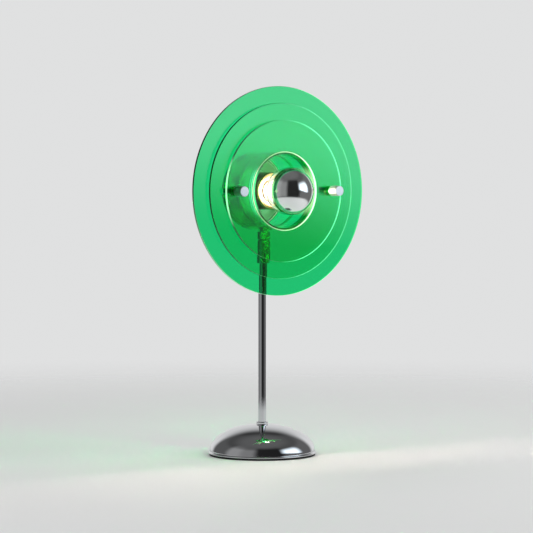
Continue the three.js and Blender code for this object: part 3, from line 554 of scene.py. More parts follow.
# %% [markdown]
# Chrome is a mirror that is a little darker than silver. Nothing gives it away but what it
# reflects, so it only gets faint handling marks and hairlines. The swivel's pieces were brushed
# before they were plated, so they are satin: rougher, and with closer marks.

# %% Chrome
chrome = finish_of(
    "chrome", (0.66, 0.67, 0.69), 1.0, 0.05, marks=(55.0, 0.02, 0.075), scratches=(700.0, 0.03, 0.00002))
pearl = finish_of(
    "pearl chrome", (0.6, 0.61, 0.62), 1.0, 0.25, marks=(130.0, 0.2, 0.3),
    scratches=(2200.0, 0.08, 0.00003))

# %% [markdown]
# The back plate was polished while it spun, which leaves fine rings. Under a small light such a
# plate shows two bright fans that meet at its centre, because each ring spreads light across
# itself and not along itself. The anisotropic socket does this, with its tangent taken from the
# grid's own map, whose first coordinate goes round.

# %% Brushed plate
brushed = finish_of(
    "brushed plate", (0.5, 0.54, 0.57), 1.0, 0.32, centre=head_centre, rings=2400.0, gloss=(0.24, 0.42),
    tones=((0.38, 0.42, 0.45), (0.6, 0.65, 0.68)), bump=(0.12, 0.00006),
    Anisotropic=0.85, Anisotropic_Rotation=0.25)
tree = brushed.node_tree
tangent = add_node(tree, "Tangent", direction_type="UV_MAP", uv_map=GRID_UV).outputs["Tangent"]
tree.links.new(tangent, tree.nodes["Principled BSDF"].inputs["Tangent"])

# %% [markdown]
# The plain metals: zinc-plated steel for what is screwed together, brass for the threaded
# fittings, warm polished brass for the lampholder's front ring, and rough cast iron for the
# weight that nobody sees.

# %% Plain metals
steel = finish_of(
    "zinc steel", (0.5, 0.51, 0.52), 1.0, 0.35, marks=(240.0, 0.26, 0.45),
    scratches=(1500.0, 0.15, 0.00004), grain=(350.0,), tones=((0.42, 0.43, 0.45), (0.6, 0.61, 0.6)))
brass = finish_of(
    "brass", (0.75, 0.55, 0.25), 1.0, 0.28, marks=(200.0, 0.18, 0.38),
    scratches=(1400.0, 0.12, 0.00003), grain=(260.0,), tones=((0.62, 0.43, 0.17), (0.83, 0.64, 0.32)))
ring_brass = finish_of(
    "ring brass", (0.62, 0.43, 0.18), 1.0, 0.1, centre=head_centre, marks=(180.0, 0.06, 0.14),
    rings=5200.0, tones=((0.5, 0.32, 0.11), (0.76, 0.56, 0.26)), bump=(0.08, 0.00003))
cast_iron = finish_of(
    "cast iron", (0.05, 0.05, 0.05), 0.7, 0.7, grain=(420.0, 6.0, 0.7),
    tones=((0.025, 0.025, 0.026), (0.09, 0.085, 0.08)), bump=(0.6, 0.0004))

# %% [markdown]
# The dull pieces: rubber under the foot, dark moulded plastic, glazed porcelain round the bulb's
# cap, white mica in its neck, and the sheath of the inner lead.

# %% Rubber, plastic, porcelain, mica and sheath
rubber = finish_of(
    "rubber pad", (0.012, 0.012, 0.012), 0.0, 0.85, grain=(1800.0, 4.0, 0.6),
    tones=((0.007, 0.007, 0.008), (0.022, 0.022, 0.022)), bump=(0.4, 0.0001))
plastic = finish_of(
    "dark plastic", (0.03, 0.022, 0.014), 0.0, 0.35, marks=(150.0, 0.28, 0.42),
    grain=(2200.0, 3.0, 0.5), tones=((0.02, 0.014, 0.009), (0.045, 0.033, 0.02)), bump=(0.15, 0.00005))
porcelain = finish_of(
    "porcelain", (0.88, 0.87, 0.82), 0.0, 0.22, marks=(90.0, 0.18, 0.3), grain=(300.0,),
    tones=((0.84, 0.82, 0.76), (0.92, 0.91, 0.87)), Coat_Weight=0.6)
mica = finish_of(
    "white mica", (0.9, 0.89, 0.85), 0.0, 0.6, grain=(700.0, 4.0, 0.6),
    tones=((0.86, 0.85, 0.8), (0.93, 0.92, 0.89)), bump=(0.1, 0.00005))
sheath = finish_of(
    "lead sheath", (0.7, 0.7, 0.66), 0.0, 0.45, marks=(160.0, 0.38, 0.55), grain=(900.0,),
    tones=((0.62, 0.62, 0.58), (0.78, 0.78, 0.74)), bump=(0.1, 0.00005))

# %% [markdown]
# ## Clear green acrylic
# Cast acrylic bends light like glass and takes colour out of it. The colour of a plate comes from
# the surface, and a weaker absorption in the volume darkens the long ways, which end at the cut
# edges. The dye passes a narrow band of green: the first plate takes nearly all the red, and what
# is left changes little in the next one. Three colours per ray can't show that, so the two smaller
# plates get a lighter tint than the large one that is behind them. Rays that go to a lamp would
# stop at any clear solid, so for those rays alone the surface is transparent.

# %% Clear materials
ACRYLIC_IOR = 1.49
ACRYLIC_RIPPLE = (22.0, 0.05, 0.0006)
LONG_WAY = 47 * MM
THROUGH_LONG_WAY = np.array([0.01, 0.78, 0.3])
DENSITY_MARGIN = 1.02
DEEP_GREEN = (0.02, 0.77, 0.25)
LIGHT_GREEN = (0.2, 0.91, 0.68)
TUBE_GREEN = (0.01, 0.86, 0.27)


def show(tree, shader, kind="Surface"):
    tree.links.new(shader, tree.nodes["Material Output"].inputs[kind])


def clear_shader(tree, tint=(1, 1, 1)):
    return add_node(tree, "BsdfTransparent", {"Color": (*tint, 1)}).outputs["BSDF"]


def let_lamps_through(tree, shader, tint):
    """Mixes in a Transparent shader for shadow rays, so that lamps light what is behind."""
    to_lamp = add_node(tree, "LightPath").outputs["Is Shadow Ray"]
    show(tree, choose(tree, to_lamp, shader.outputs["BSDF"], clear_shader(tree, tint)))


def absorb(tree, through, depth):
    """Absorption that leaves the share 'through' after 'depth': density x (1 - colour) is
    -ln(through) / depth for each of red, green and blue."""
    wanted = -np.log(through) / depth
    density = wanted.max() * DENSITY_MARGIN
    settings = {"Color": (*(1 - wanted / density), 1), "Density": density}
    show(tree, add_node(tree, "VolumeAbsorption", settings).outputs["Volume"], "Volume")


def clear_finish(name, color, refraction, ripple, tint=(1, 1, 1)):
    """Smooth and clear, with faint waves. ripple = (scale, strength, depth)."""
    finish, tree, shader = new_finish(
        name, color, 0.0, 0.0, Transmission_Weight=1.0, IOR=refraction)
    relief(tree, shader, noise_node(tree, coordinates(tree), ripple[0], 1.0), *ripple[1:])
    let_lamps_through(tree, shader, tint)
    return finish, tree, shader


def acrylic_finish(name, color):
    finish, tree, shader = clear_finish(name, color, ACRYLIC_IOR, ACRYLIC_RIPPLE, np.sqrt(color))
    absorb(tree, THROUGH_LONG_WAY, LONG_WAY)
    return finish, tree, shader


acrylic = acrylic_finish("green acrylic", TUBE_GREEN)[0]
deep_acrylic = acrylic_finish("deep green acrylic", DEEP_GREEN)[0]
light_acrylic = acrylic_finish("light green acrylic", LIGHT_GREEN)[0]

# %% [markdown]
# Light that gets inside a plate is led along it and comes out where it ends. The cut edges get a
# painted glow that stands in for this light: an emission, full where an edge is seen from inside
# the plate. From outside the painted glow of the large plate lies mostly along its lower half, that
# of the middle one faintly so, and that of the small one, which is nearest to the filament, at both
# sides, level with it.

# %% Painted glow on the edges
PAINTED_EDGE_GLOW_COLOR = (0.36, 0.85, 0.46)
EDGE_GLOW = 0.8
SMALL_EDGE_GLOW = 1.7 * EDGE_GLOW


def round_head(tree):
    """Unit direction away from the head's axis, as its parts across (X) and up (Z), and the
    distance from that axis."""
    away = vector_node(tree, "MULTIPLY", coordinates(tree, head_centre), (1, 0, 1))
    parts = parts_of(tree, vector_node(tree, "NORMALIZE", away))
    return parts["X"], parts["Z"], vector_node(tree, "LENGTH", away)


def seen_from_inside(tree):
    return add_node(tree, "NewGeometry").outputs["Backfacing"]


# Painted glow: an emission of the given colour, as strong as the product of the shares.
def paint_glow(tree, shader, color, *shares):
    shader.inputs["Emission Color"].default_value = (*color, 1)
    tree.links.new(times(tree, *shares), shader.inputs["Emission Strength"])


def painted_edge_glow_finish(name, color, heights, shares, glow, both_ways=False):
    """From outside the painted glow goes from the first share at the first height to the second
    one at the second height, counted on the unit circle, or above and below the axis alike."""
    finish, tree, shader = acrylic_finish(name, color)
    upward = round_head(tree)[1]
    if both_ways:
        upward = math_node(tree, "ABSOLUTE", upward)
    # painted glow: emission share chosen by height round the head's axis, full where seen from inside
    outside = between(tree, upward, *heights, *shares)
    share = math_node(tree, "MAXIMUM", outside, seen_from_inside(tree))
    paint_glow(tree, shader, PAINTED_EDGE_GLOW_COLOR, share, glow)
    return finish


deep_edge_painted_glow = painted_edge_glow_finish("deep acrylic edge", DEEP_GREEN, (0.1, -0.8), (0.02, 0.7), EDGE_GLOW)
middle_edge_painted_glow = painted_edge_glow_finish("middle acrylic edge", LIGHT_GREEN, (0.1, -0.8), (0.02, 0.12), EDGE_GLOW)
small_edge_painted_glow = painted_edge_glow_finish(
    "small acrylic edge", LIGHT_GREEN, (0.5, 0.22), (0.06, 1.0), SMALL_EDGE_GLOW, both_ways=True)

# %% [markdown]
# The front end of the tube gets a painted glow in the same way, as a line along its outer edge
# that is wider and brighter towards +X.

# %% Painted glow on the tube end
PAINTED_END_GLOW_COLOR = (0.66, 1.0, 0.62)
END_GLOW = 1.5
LINE_TURN = (0.2, 1.0)
LINE_WIDTHS = (1.0 * MM, 2.8 * MM)
DIM_SIDE = 0.2

tube_end_painted_glow, tree, shader = acrylic_finish("acrylic tube end", TUBE_GREEN)
across, _, distance = round_head(tree)
line = between(tree, across, *LINE_TURN, *(shell_radius - width for width in LINE_WIDTHS))
on_line = math_node(tree, "GREATER_THAN", math_node(tree, "SUBTRACT", distance, line), 0.0)
side_share = between(tree, across, -1.0, 1.0, DIM_SIDE, 1.0)
# Painted glow: emission on a line along the outer edge, wider and brighter towards +X.
paint_glow(tree, shader, PAINTED_END_GLOW_COLOR, side_share, on_line, END_GLOW)

# %% [markdown]
# The filament hangs level, so its light is strongest on both sides of the tube's wall, and a
# painted glow stands in for it there: an emission broken into fine rings like those the saw and
# the lathe leave, fading towards the back. Most of the rings are on the outside, where the lathe
# turned the tube, so the painted glow is stronger on the outer skin.

# %% Wall with a painted glow
PAINTED_WALL_GLOW_COLOR = (1.0, 0.8, 0.55)
WALL_GLOW = 0.75
WALL_RINGS = 1300.0
WALL_BACK_SHARE = 0.15
SIDE_START = 0.72
SAW_TONES = (0.35, 0.65)
BETWEEN_RINGS = 0.45
OUTER_GAIN = 2.8
OUTER_DEPTH = 1.0 * MM

painted_glow_wall, tree, shader = acrylic_finish("lit acrylic wall", TUBE_GREEN)
across, _, distance = round_head(tree)
forward = parts_of(tree, coordinates(tree))["Y"]
sides = smooth(tree, math_node(tree, "ABSOLUTE", across), SIDE_START, 1.0)
fade = between(tree, forward, -front_tube_front, -front_tube_back, 1.0, WALL_BACK_SHARE)
saw = line_noise(tree, forward, WALL_RINGS, 3.0)
rings = between(tree, saw, *SAW_TONES, BETWEEN_RINGS, 1.0)
outer = math_node(tree, "GREATER_THAN", distance, shell_radius - OUTER_DEPTH)
from_outside = math_node(tree, "SUBTRACT", 1.0, seen_from_inside(tree))
gain = between(tree, times(tree, outer, from_outside), 0.0, 1.0, 1.0, OUTER_GAIN)
# Painted glow: emission on both sides of the wall, in rings, fading backwards, stronger outside.
paint_glow(tree, shader, PAINTED_WALL_GLOW_COLOR, sides, fade, rings, gain, WALL_GLOW)

# %% [markdown]
# The bulb is plain clear glass. Its neck, where the crown's light gathers, gets a painted white
# glow that stands in for that light.

# %% Bulb glass with a painted glow in the neck
GLASS_IOR = 1.5
GLASS_RIPPLE = (60.0, 0.04, 0.0004)
PAINTED_NECK_GLOW_COLOR = (1.0, 0.96, 0.84)
NECK_GLOW = 0.9
NECK_GLOW_START = 9 * MM
NECK_GLOW_END = 15 * MM

cap_radius, cap_back, cap_front = size_along("bulb_cap")
glass, tree, shader = clear_finish("bulb glass", (0.98, 0.99, 0.98), GLASS_IOR, GLASS_RIPPLE)
forward = parts_of(tree, coordinates(tree))["Y"]
painted_neck_glow = smooth(tree, forward, -cap_front - NECK_GLOW_END, -cap_front - NECK_GLOW_START)
# Painted glow: a white emission over the neck, fading out towards the globe.
paint_glow(tree, shader, PAINTED_NECK_GLOW_COLOR, painted_neck_glow, NECK_GLOW)

# %% [markdown]
# ## Silvering and light source
# The crown's silvering is evaporated on the inside of the glass, so it is a cleaner mirror than
# chrome. Black glass insulates the cap's tip, and the filament itself glows.

# %% Mirror, black glass and filament
FILAMENT_GLOW = 60.0
silver = finish_of("silvering", (0.92, 0.93, 0.95), 1.0, 0.02, marks=(120.0, 0.04, 0.08))
black_glass = finish_of("black glass", (0.012, 0.01, 0.014), 0.0, 0.12, marks=(260.0, 0.08, 0.2))
tungsten, tree, shader = new_finish(
    "tungsten", (0.4, 0.36, 0.3), 1.0, 0.4, Emission_Strength=FILAMENT_GLOW)
tinted(tree, shader.inputs["Emission Color"], noise_node(tree, coordinates(tree), 500.0),
       (1.0, 0.72, 0.36), (1.0, 0.9, 0.66))

# %% [markdown]
# ## Hidden pieces
# What sits out of sight in the foot, the stem, the studs and the lampholder keeps its plain solid
# and only gets the right finish.

# %% Hidden pieces
HIDDEN = (
    (steel, ["base_plate", "base_plate_screw_1", "base_plate_screw_2", "base_plate_screw_3",
             "stem_washer", "stem_nut", "stud_rod_left", "stud_rod_right"]),
    (brass, ["swivel_nipple", "swivel_nut", "lampholder_contact"]),
    (cast_iron, ["base_weight"]), (porcelain, ["terminal_block"]), (sheath, ["lead_lower"]),
)
for finish, nodes in HIDDEN:
    for node in nodes:
        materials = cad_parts[node].data.materials
        materials.clear()
        materials.append(finish)
print("plain solids kept:", sum(len(nodes) for _, nodes in HIDDEN))

# %% [markdown]
# ## The foot
# A thin rubber pad carries a spun chrome dome. Spinning ends in a rolled rim, which is a half
# round bead, and the dome above it is a quarter of an ellipse up to the small flat where the stem
# goes in. The shell has a real wall, with the same curve inside.

# %% Foot
PAD_ROUNDING = 0.5 * MM
RIM_PROUD = 1.2 * MM
RIM_HEIGHT = 2.1 * MM
RIM_END = 0.42 * math.pi
RIM_STEPS = 16
DOME_START = 0.012
DOME_WALL = 1.6 * MM
DOME_STEPS = 72
HOLE_CLEARANCE = 0.3 * MM

lathe("foot_pad", ring_of("base_pad", 0, PAD_ROUNDING, size_up), upright,
      STAND, "pad", rubber, "base_pad")

tube_radius, _, tube_high = size_up("stem_tube")
collar_radius, _, _ = size_up("stem_collar")
rim_radius, dome_low, dome_high = size_up("base_dome")
dome_radius = rim_radius - RIM_PROUD
dome_bore = dome_radius - DOME_WALL
rim_top = dome_low + RIM_HEIGHT
tube_hole = tube_radius + HOLE_CLEARANCE
seat_angle = math.acos((collar_radius + RIM_PROUD) / dome_radius)
rise = (dome_high - rim_top) / math.sin(seat_angle)
inner_top = dome_high - DOME_WALL
inner_rise = rise - DOME_WALL
inner_angle = math.asin((inner_top - rim_top) / inner_rise)
bead = RIM_HEIGHT / 2
dome_outline = np.concatenate([
    [[dome_bore, dome_low]],
    ellipse_arc(bead, bead, dome_low + bead, -math.pi / 2, RIM_END, RIM_STEPS, rim_radius - bead),
    ellipse_arc(dome_radius, rise, rim_top, DOME_START, seat_angle, DOME_STEPS),
    [[tube_hole, dome_high], [tube_hole, inner_top]],
    ellipse_arc(dome_bore, inner_rise, rim_top, 0, inner_angle, DOME_STEPS)[::-1],
])
lathe("foot_dome", dome_outline, upright, STAND, "chrome", chrome, "base_dome", sides=192)

# %% [markdown]
# ## The cord's bush
# The cord enters at the back of the foot through a black bush. Its outer flange lies on the
# curved dome, so the root of the turned shape is pushed back until it meets the dome's ellipse.

# %% Bush
GLAND_BORE = 3.3 * MM
GLAND_NOSE_WALL = 0.7 * MM
GLAND_BODY = 4.3 * MM
GLAND_FLANGE = 5.6 * MM
GLAND_FLANGE_THICKNESS = 2.4 * MM
GLAND_ROUNDING = 0.6 * MM
GLAND_EDGES = [SLIGHT] * 5 + [0.05 * MM, GLAND_ROUNDING, 0.3 * MM, 0.3 * MM]

gland_low, gland_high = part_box("cable_gland")
gland_height = (gland_low.z + gland_high.z) / 2
inner_flange = gland_low.y + GLAND_FLANGE_THICKNESS
flange_root = dome_radius + HOLE_CLEARANCE
gland_outline = rounded([
    [GLAND_BORE, gland_low.y], [GLAND_FLANGE, gland_low.y], [GLAND_FLANGE, inner_flange],
    [GLAND_BODY, inner_flange], [GLAND_BODY, dome_bore], [GLAND_FLANGE, flange_root],
    [GLAND_FLANGE, flange_root + GLAND_FLANGE_THICKNESS],
    [GLAND_BORE + GLAND_NOSE_WALL, gland_high.y], [GLAND_BORE, gland_high.y],
], GLAND_EDGES)


def behind(x, y, along):
    """Lies along +Y at the bush's height. Points of the outer flange's root go to the dome, whose
    surface is at sqrt((radius cos t)^2 - x^2) with sin t = (height - rim) / rise."""
    height = gland_height + y
    sin_t = np.clip((height - rim_top) / rise, -1, 1)
    reach = dome_radius * np.sqrt(1 - sin_t ** 2)
    on_dome = np.sqrt(np.maximum(reach ** 2 - x ** 2, 0))
    root = (np.hypot(x, y) > GLAND_BODY + SLIGHT) & (along > dome_radius - GLAND_ROUNDING)
    root &= along < dome_radius + 2 * HOLE_CLEARANCE
    return np.stack([-x, np.where(root, on_dome, along), height], -1)


lathe("cord_bush", gland_outline, behind, STAND, "black_plastic", plastic, "cable_gland", sides=96)

# %% [markdown]
# ## The stem and its swivel
# A slim chrome tube stands in a small collar. At its top a thicker sleeve is held by a grub
# screw, and on it, past a dark slip washer, turns the cap that carries the neck. The neck's
# skirt is screwed into the cap, and its thread reaches through the wall of the green tube.

# %% Stem and collar
TUBE_BORE = 3.8 * MM
COLLAR_ROUNDING = 0.7 * MM
SLEEVE_ROUNDING = 0.6 * MM
NIPPLE_RADIUS = 4.8 * MM
NIPPLE_BORE = 3.1 * MM
NIPPLE_HOLE = NIPPLE_RADIUS + HOLE_CLEARANCE

lathe("stem", ring_of("stem_tube", TUBE_BORE, EDGE, size_up), upright,
      STAND, "chrome", chrome, "stem_tube", sides=96)
collar_edges = [TINY, EDGE, COLLAR_ROUNDING, EDGE]
lathe("collar", ring_of("stem_collar", tube_hole, collar_edges, size_up), upright,
      STAND, "chrome", chrome, "stem_collar")

# %% Sleeve, grub screw and slip washer
SOCKET_RADIUS = 0.8 * MM
SOCKET_DEPTH = 1.0 * MM
SOCKET_REACH = 1.3
SLEEVE_DRILL_END = 1.5
CUP_EDGES = [EDGE, SLEEVE_ROUNDING, SLEEVE_ROUNDING, EDGE, EDGE, EDGE]

sleeve_radius, sleeve_low, sleeve_high = size_up("swivel_sleeve")
sleeve_outline = rounded(
    cup(tube_hole, NIPPLE_HOLE, sleeve_radius, sleeve_low, sleeve_high, tube_high + HOLE_CLEARANCE),
    CUP_EDGES)
screw_radius, screw_back, screw_front = size_along("sleeve_set_screw")
screw_low, screw_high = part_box("sleeve_set_screw")
screw_place = facing((screw_low.z + screw_high.z) / 2)
sleeve = drilled(
    turned("swivel_sleeve_fine", sleeve_outline, upright),
    [drill(screw_radius + HOLE_CLEARANCE, 0, sleeve_radius * SLEEVE_DRILL_END, screw_place)])
dress(sleeve, STAND, "chrome", pearl, "swivel_sleeve")

screw_outline = rounded(
    cup(0, SOCKET_RADIUS, screw_radius, screw_back, screw_front, screw_front - SOCKET_DEPTH), SMALL)
in_socket = (screw_outline[:, 0] < SOCKET_RADIUS * SOCKET_REACH) & (
    screw_outline[:, 1] > screw_back + EDGE)
lathe("grub_screw", screw_outline, screw_place, STAND, "steel", steel, "sleeve_set_screw",
      sides=72, six_sided=in_socket * 1.0)
lathe("slip_washer", ring_of("swivel_washer", NIPPLE_HOLE, TINY, size_up), upright,
      STAND, "black_plastic", plastic, "swivel_washer")

# %% Swivel cap and neck
CAP_WALL = 1.3 * MM
CAP_FLOOR = 3.0 * MM
NECK_STEP = 0.9 * MM
SHELL_WALL = 3.0 * MM
FINE_PITCH = 1.0 * MM
FINE_THREAD = 0.35 * MM
FINE_ROWS = 8

turner_radius, turner_low, turner_high = size_up("swivel_cap")
turner_outline = rounded(
    cup(NIPPLE_HOLE, turner_radius - CAP_WALL, turner_radius, turner_low, turner_high,
        turner_low + CAP_FLOOR), CUP_EDGES)
lathe("swivel_cap_fine", turner_outline, upright, HEAD, "chrome", pearl, "swivel_cap")

skirt_radius, neck_low, neck_high = size_up("neck")
shell_bore = shell_radius - SHELL_WALL
neck_shoulder = HEAD_HEIGHT - shell_radius - HOLE_CLEARANCE
neck_outline = rounded(stepped(
    NIPPLE_BORE, neck_low, (skirt_radius, turner_high), (skirt_radius - NECK_STEP, neck_shoulder),
    (NIPPLE_RADIUS, neck_high)), SLIGHT)
neck_thread = (FINE_PITCH, FINE_THREAD, neck_shoulder + FINE_PITCH, neck_high, -1, FINE_ROWS)
lathe("neck_fine", neck_outline, upright, HEAD, "chrome", pearl, "neck", sides=64, thread=neck_thread)

# %% [markdown]
# ## The neck's saddle and nut
# Inside the tube a curved washer spreads the nut's pull. Its underside follows the tube's bore:
# at a distance x from the middle the bore has risen by radius - sqrt(radius^2 - x^2).

# %% Saddle and nut
NUT_CHAMFER = 0.7 * MM
NUT_SHARP = math.radians(28)
NUT_SHARES = [0, 0.55, 1, 1, 0.55, 0]

_, saddle_low, saddle_high = size_up("neck_saddle")
lip_radius = shell_bore - HOLE_CLEARANCE


def in_bore(x, y, along):
    share = (along - saddle_low) / (saddle_high - saddle_low)
    bottom = HEAD_HEIGHT - np.sqrt(lip_radius ** 2 - x ** 2)
    return np.stack([x, y, bottom + share * (saddle_high - bottom)], -1)


lathe("neck_saddle_fine", ring_of("neck_saddle", NIPPLE_HOLE, SMALL, size_up), in_bore,
      HEAD, "brass", brass, "neck_saddle", sides=96)


def hex_nut(name, node, place, corner, low, high, finish, slot):
    """A hexagon whose corners are chamfered to a circle: the outer rows are hexagonal in the
    middle and round at both faces."""
    flat = corner * math.cos(math.pi / HEX)
    outline = np.array([
        [NIPPLE_HOLE, low], [flat - NUT_CHAMFER, low], [flat, low + NUT_CHAMFER / 2],
        [flat, high - NUT_CHAMFER / 2], [flat - NUT_CHAMFER, high], [NIPPLE_HOLE, high],
    ])
    nut = turned(name, outline, place, sides=96, six_sided=NUT_SHARES)
    nut.data.set_sharp_from_angle(angle=NUT_SHARP)
    dress(nut, HEAD, slot, finish, node)


nut_low, nut_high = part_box("neck_nut")
neck_nut_corner = max(nut_high.x - nut_low.x, nut_high.y - nut_low.y) / 2
hex_nut("neck_nut_fine", "neck_nut", upright, neck_nut_corner, nut_low.z, nut_high.z, brass, "brass")

# %% [markdown]
# ## The inner lead
# A lead leaves the neck and runs back and up into the lampholder. It is a round section carried
# along a smooth curve through a few chosen points: at each point the section lies square to the
# path, between two directions that are both square to the tangent.

# %% Swept pieces
def smooth_path(points, count):
    """Catmull-Rom curve: between points b and c, with a before and d after, the place at t is
    half of 2b + (c-a)t + (2a-5b+4c-d)t^2 + (3b-a-3c+d)t^3."""
    points = np.array(points, float)
    padded = np.vstack([2 * points[0] - points[1], points, 2 * points[-1] - points[-2]])
    t = np.linspace(0, len(points) - 1, count)
    i = np.minimum(t.astype(int), len(points) - 2)
    t = (t - i)[:, None]
    a, b, c, d = padded[i], padded[i + 1], padded[i + 2], padded[i + 3]
    return (2 * b + (c - a) * t + (2 * a - 5 * b + 4 * c - d) * t ** 2
            + (3 * b - a - 3 * c + d) * t ** 3) / 2


def swept(name, path, radius, sides, side=(1.0, 0.0, 0.0)):
    """Rows are circles round the path, of radius times a share that closes both ends."""
    tangent = unit(np.gradient(path, axis=0))
    first = unit(np.cross(tangent, np.array(side)))
    second = np.cross(tangent, first)
    rows, first, second = (
        np.concatenate([part[:1], part, part[-1:]])[:, None] for part in (path, first, second))
    share = np.ones((len(rows), 1, 1))
    share[[0, -1]] = 0
    angle = (2 * math.pi * np.arange(sides) / sides)[None, :, None]
    arm = first * np.cos(angle) + second * np.sin(angle)
    return surface(name, rows + arm * (share * radius))


LEAD_RADIUS = 2.0 * MM
LEAD_ENTRY = 7.6 * MM
LEAD_POINTS = 48
LEAD_SIDES = 24
housing_radius, housing_back, housing_front = size_along("lampholder_housing")
lead_low, lead_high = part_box("lead_upper")
entry_height = HEAD_HEIGHT - housing_radius
lead_path = smooth_path([
    (0, 0, lead_low.z), (0, 0, (lead_low.z + neck_high) / 2), (0, 0, neck_high),
    (0, LEAD_ENTRY / 2, neck_high + (entry_height - neck_high) / 2), (0, LEAD_ENTRY, entry_height),
    (0, LEAD_ENTRY, lead_high.z),
], LEAD_POINTS)
inner_lead = swept("inner_lead", lead_path, LEAD_RADIUS, LEAD_SIDES)
dress(inner_lead, HEAD, "lead_sheath", sheath, "lead_upper")

# %% [markdown]
# ## The back plate
# A round plate closes the tube behind the bulb, with a low step that centres it.

# %% Back plate
PLATE_LIP = 1.0 * MM
PLATE_EDGES = [EDGE, 0.4 * MM, EDGE, TINY, EDGE, EDGE]
plate_radius, plate_back, plate_face = size_along("back_plate")
plate_outline = rounded(stepped(
    NIPPLE_HOLE, plate_back, (plate_radius, plate_face - PLATE_LIP), (lip_radius, plate_face)),
    PLATE_EDGES)
lathe("brushed_plate", plate_outline, head_place, HEAD, "brushed", brushed, "back_plate", sides=192)

# %% [markdown]
# ## The green tube
# Two lengths of tube meet in a rebate: the front one has a thin spigot that enters the rear one.
# The rear one is drilled from below for the neck.

# %% Tube
POLISH = 0.3 * MM
SPIGOT_WALL = 1.3 * MM
TUBE_SIDES = 160
NECK_DRILL = (shell_bore * 0.7, shell_radius * 1.2)


def from_below(offset):
    """Places a drill that counts its way down from the head's axis."""
    return lambda x, y, along: np.stack([x, offset - y, HEAD_HEIGHT - along], -1)


_, rear_tube_back, rear_tube_front = size_along("rear_tube")
spigot = shell_bore + SPIGOT_WALL
rear_outline = rounded(
    cup(shell_bore, spigot + HOLE_CLEARANCE, shell_radius, rear_tube_back, rear_tube_front,
        front_tube_back - HOLE_CLEARANCE), [SMALL, SMALL, POLISH, TINY, TINY, TINY])
rear_tube = drilled(
    turned("green_tube_rear", rear_outline, head_place, sides=TUBE_SIDES),
    [drill(NIPPLE_HOLE, *NECK_DRILL, from_below(0.0))])
dress(rear_tube, HEAD, "green_acrylic", acrylic, "rear_tube")

seat = rear_tube_front + HOLE_CLEARANCE
front_outline = rounded(
    stepped(shell_bore, front_tube_back, (spigot, seat), (shell_radius, front_tube_front)),
    [TINY, TINY, TINY, SMALL, POLISH, POLISH])
# The front tube's wall takes the painted glow.
front_tube = lathe("green_tube_front", front_outline, head_place,
                   HEAD, "green_acrylic", painted_glow_wall, "front_tube", sides=TUBE_SIDES)
# The front end takes the finish with the painted glow line.
second_finish(front_tube, tube_end_painted_glow, lambda x, y, z: -y > front_tube_front - POLISH)

# %% [markdown]
# ## The three ring plates
# Each is a flat ring of acrylic round the tube, with a polished edge that has a painted glow, and
# two holes for the studs.

# %% Ring plates
ROD_HOLE = 3.0 * MM
stud_low, stud_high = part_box("stud_cap_front_right")
STUD_OFFSET = (stud_low.x + stud_high.x) / 2


def ring_plate(size, finish, rim_finish):
    node = f"disc_{size}"
    radius, back, front = size_along(node)
    outline = ring_of(node, shell_radius + HOLE_CLEARANCE, POLISH)
    plate = turned(f"ring_plate_{size}", outline, head_place, sides=256)
    holes = [
        drill(ROD_HOLE, back - MM, front + MM, facing(HEAD_HEIGHT, offset))
        for offset in (-STUD_OFFSET, STUD_OFFSET)
    ]
    dress(drilled(plate, holes), HEAD, "green_acrylic", finish, node)
    # The polished rims take the finish with the painted glow.
    second_finish(plate, rim_finish, lambda x, y, z: np.hypot(x, z - HEAD_HEIGHT) > radius - POLISH)


ring_plate("small", light_acrylic, small_edge_painted_glow)
ring_plate("middle", light_acrylic, middle_edge_painted_glow)
ring_plate("large", deep_acrylic, deep_edge_painted_glow)

# %% [markdown]
# ## The studs
# One stud on each side clamps the plates. A chromed cap with a finely turned face stands in
# front on a dark washer, clear spacers sit between the plates, and a slimmer cap ends it behind.

# %% Studs
CAP_ROUNDING = 0.5 * MM
REAR_ROUNDING = 0.8 * MM
ROD_BITE = 10.3 * MM
FACE_DEPTH = 0.02 * MM
satin = finish_of(
    "satin chrome", (0.28, 0.28, 0.27), 1.0, 0.4, marks=(300.0, 0.34, 0.48),
    scratches=(2600.0, 0.1, 0.00003))


def stud(side, offset):
    place = facing(HEAD_HEIGHT, offset)
    radius, back, front = size_along(f"stud_cap_front_{side}")
    front_outline = rounded([
        [0, back + ROD_BITE], [ROD_HOLE, back + ROD_BITE], [ROD_HOLE, back], [radius, back],
        [radius, front], [0, front],
    ], [0, EDGE, EDGE, EDGE, CAP_ROUNDING, 0])
    cap = lathe(f"stud_front_{side}", front_outline, place,
                HEAD, "chrome", satin, f"stud_cap_front_{side}", sides=96)
    turned_face = finish_of(
        f"stud face {side}", (0.8, 0.81, 0.85), 1.0, 0.3, centre=(-offset, 0, -HEAD_HEIGHT),
        rings=9000.0, gloss=(0.24, 0.4), bump=(0.1, 0.00003))
    second_finish(cap, turned_face, lambda x, y, z: -y > front - FACE_DEPTH)

    lathe(f"stud_washer_fine_{side}", ring_of(f"stud_washer_{side}", ROD_HOLE, TINY), place,
          HEAD, "black_plastic", plastic, f"stud_washer_{side}", sides=64)
    for where in ("front", "rear"):
        node = f"stud_spacer_{where}_{side}"
        lathe(f"spacer_{where}_{side}", ring_of(node, ROD_HOLE, SMALL), place,
              HEAD, "green_acrylic", acrylic, node, sides=64)

    radius, back, front = size_along(f"stud_cap_rear_{side}")
    rear_outline = rounded(
        cup(0, ROD_HOLE, radius, back, front, front - ROD_BITE), [0, REAR_ROUNDING, EDGE, EDGE, EDGE, 0])
    lathe(f"stud_rear_{side}", rear_outline, place,
          HEAD, "chrome", chrome, f"stud_cap_rear_{side}", sides=64)


stud("left", -STUD_OFFSET)
stud("right", STUD_OFFSET)
print("studs at", round(STUD_OFFSET, 4), "from the head's axis")

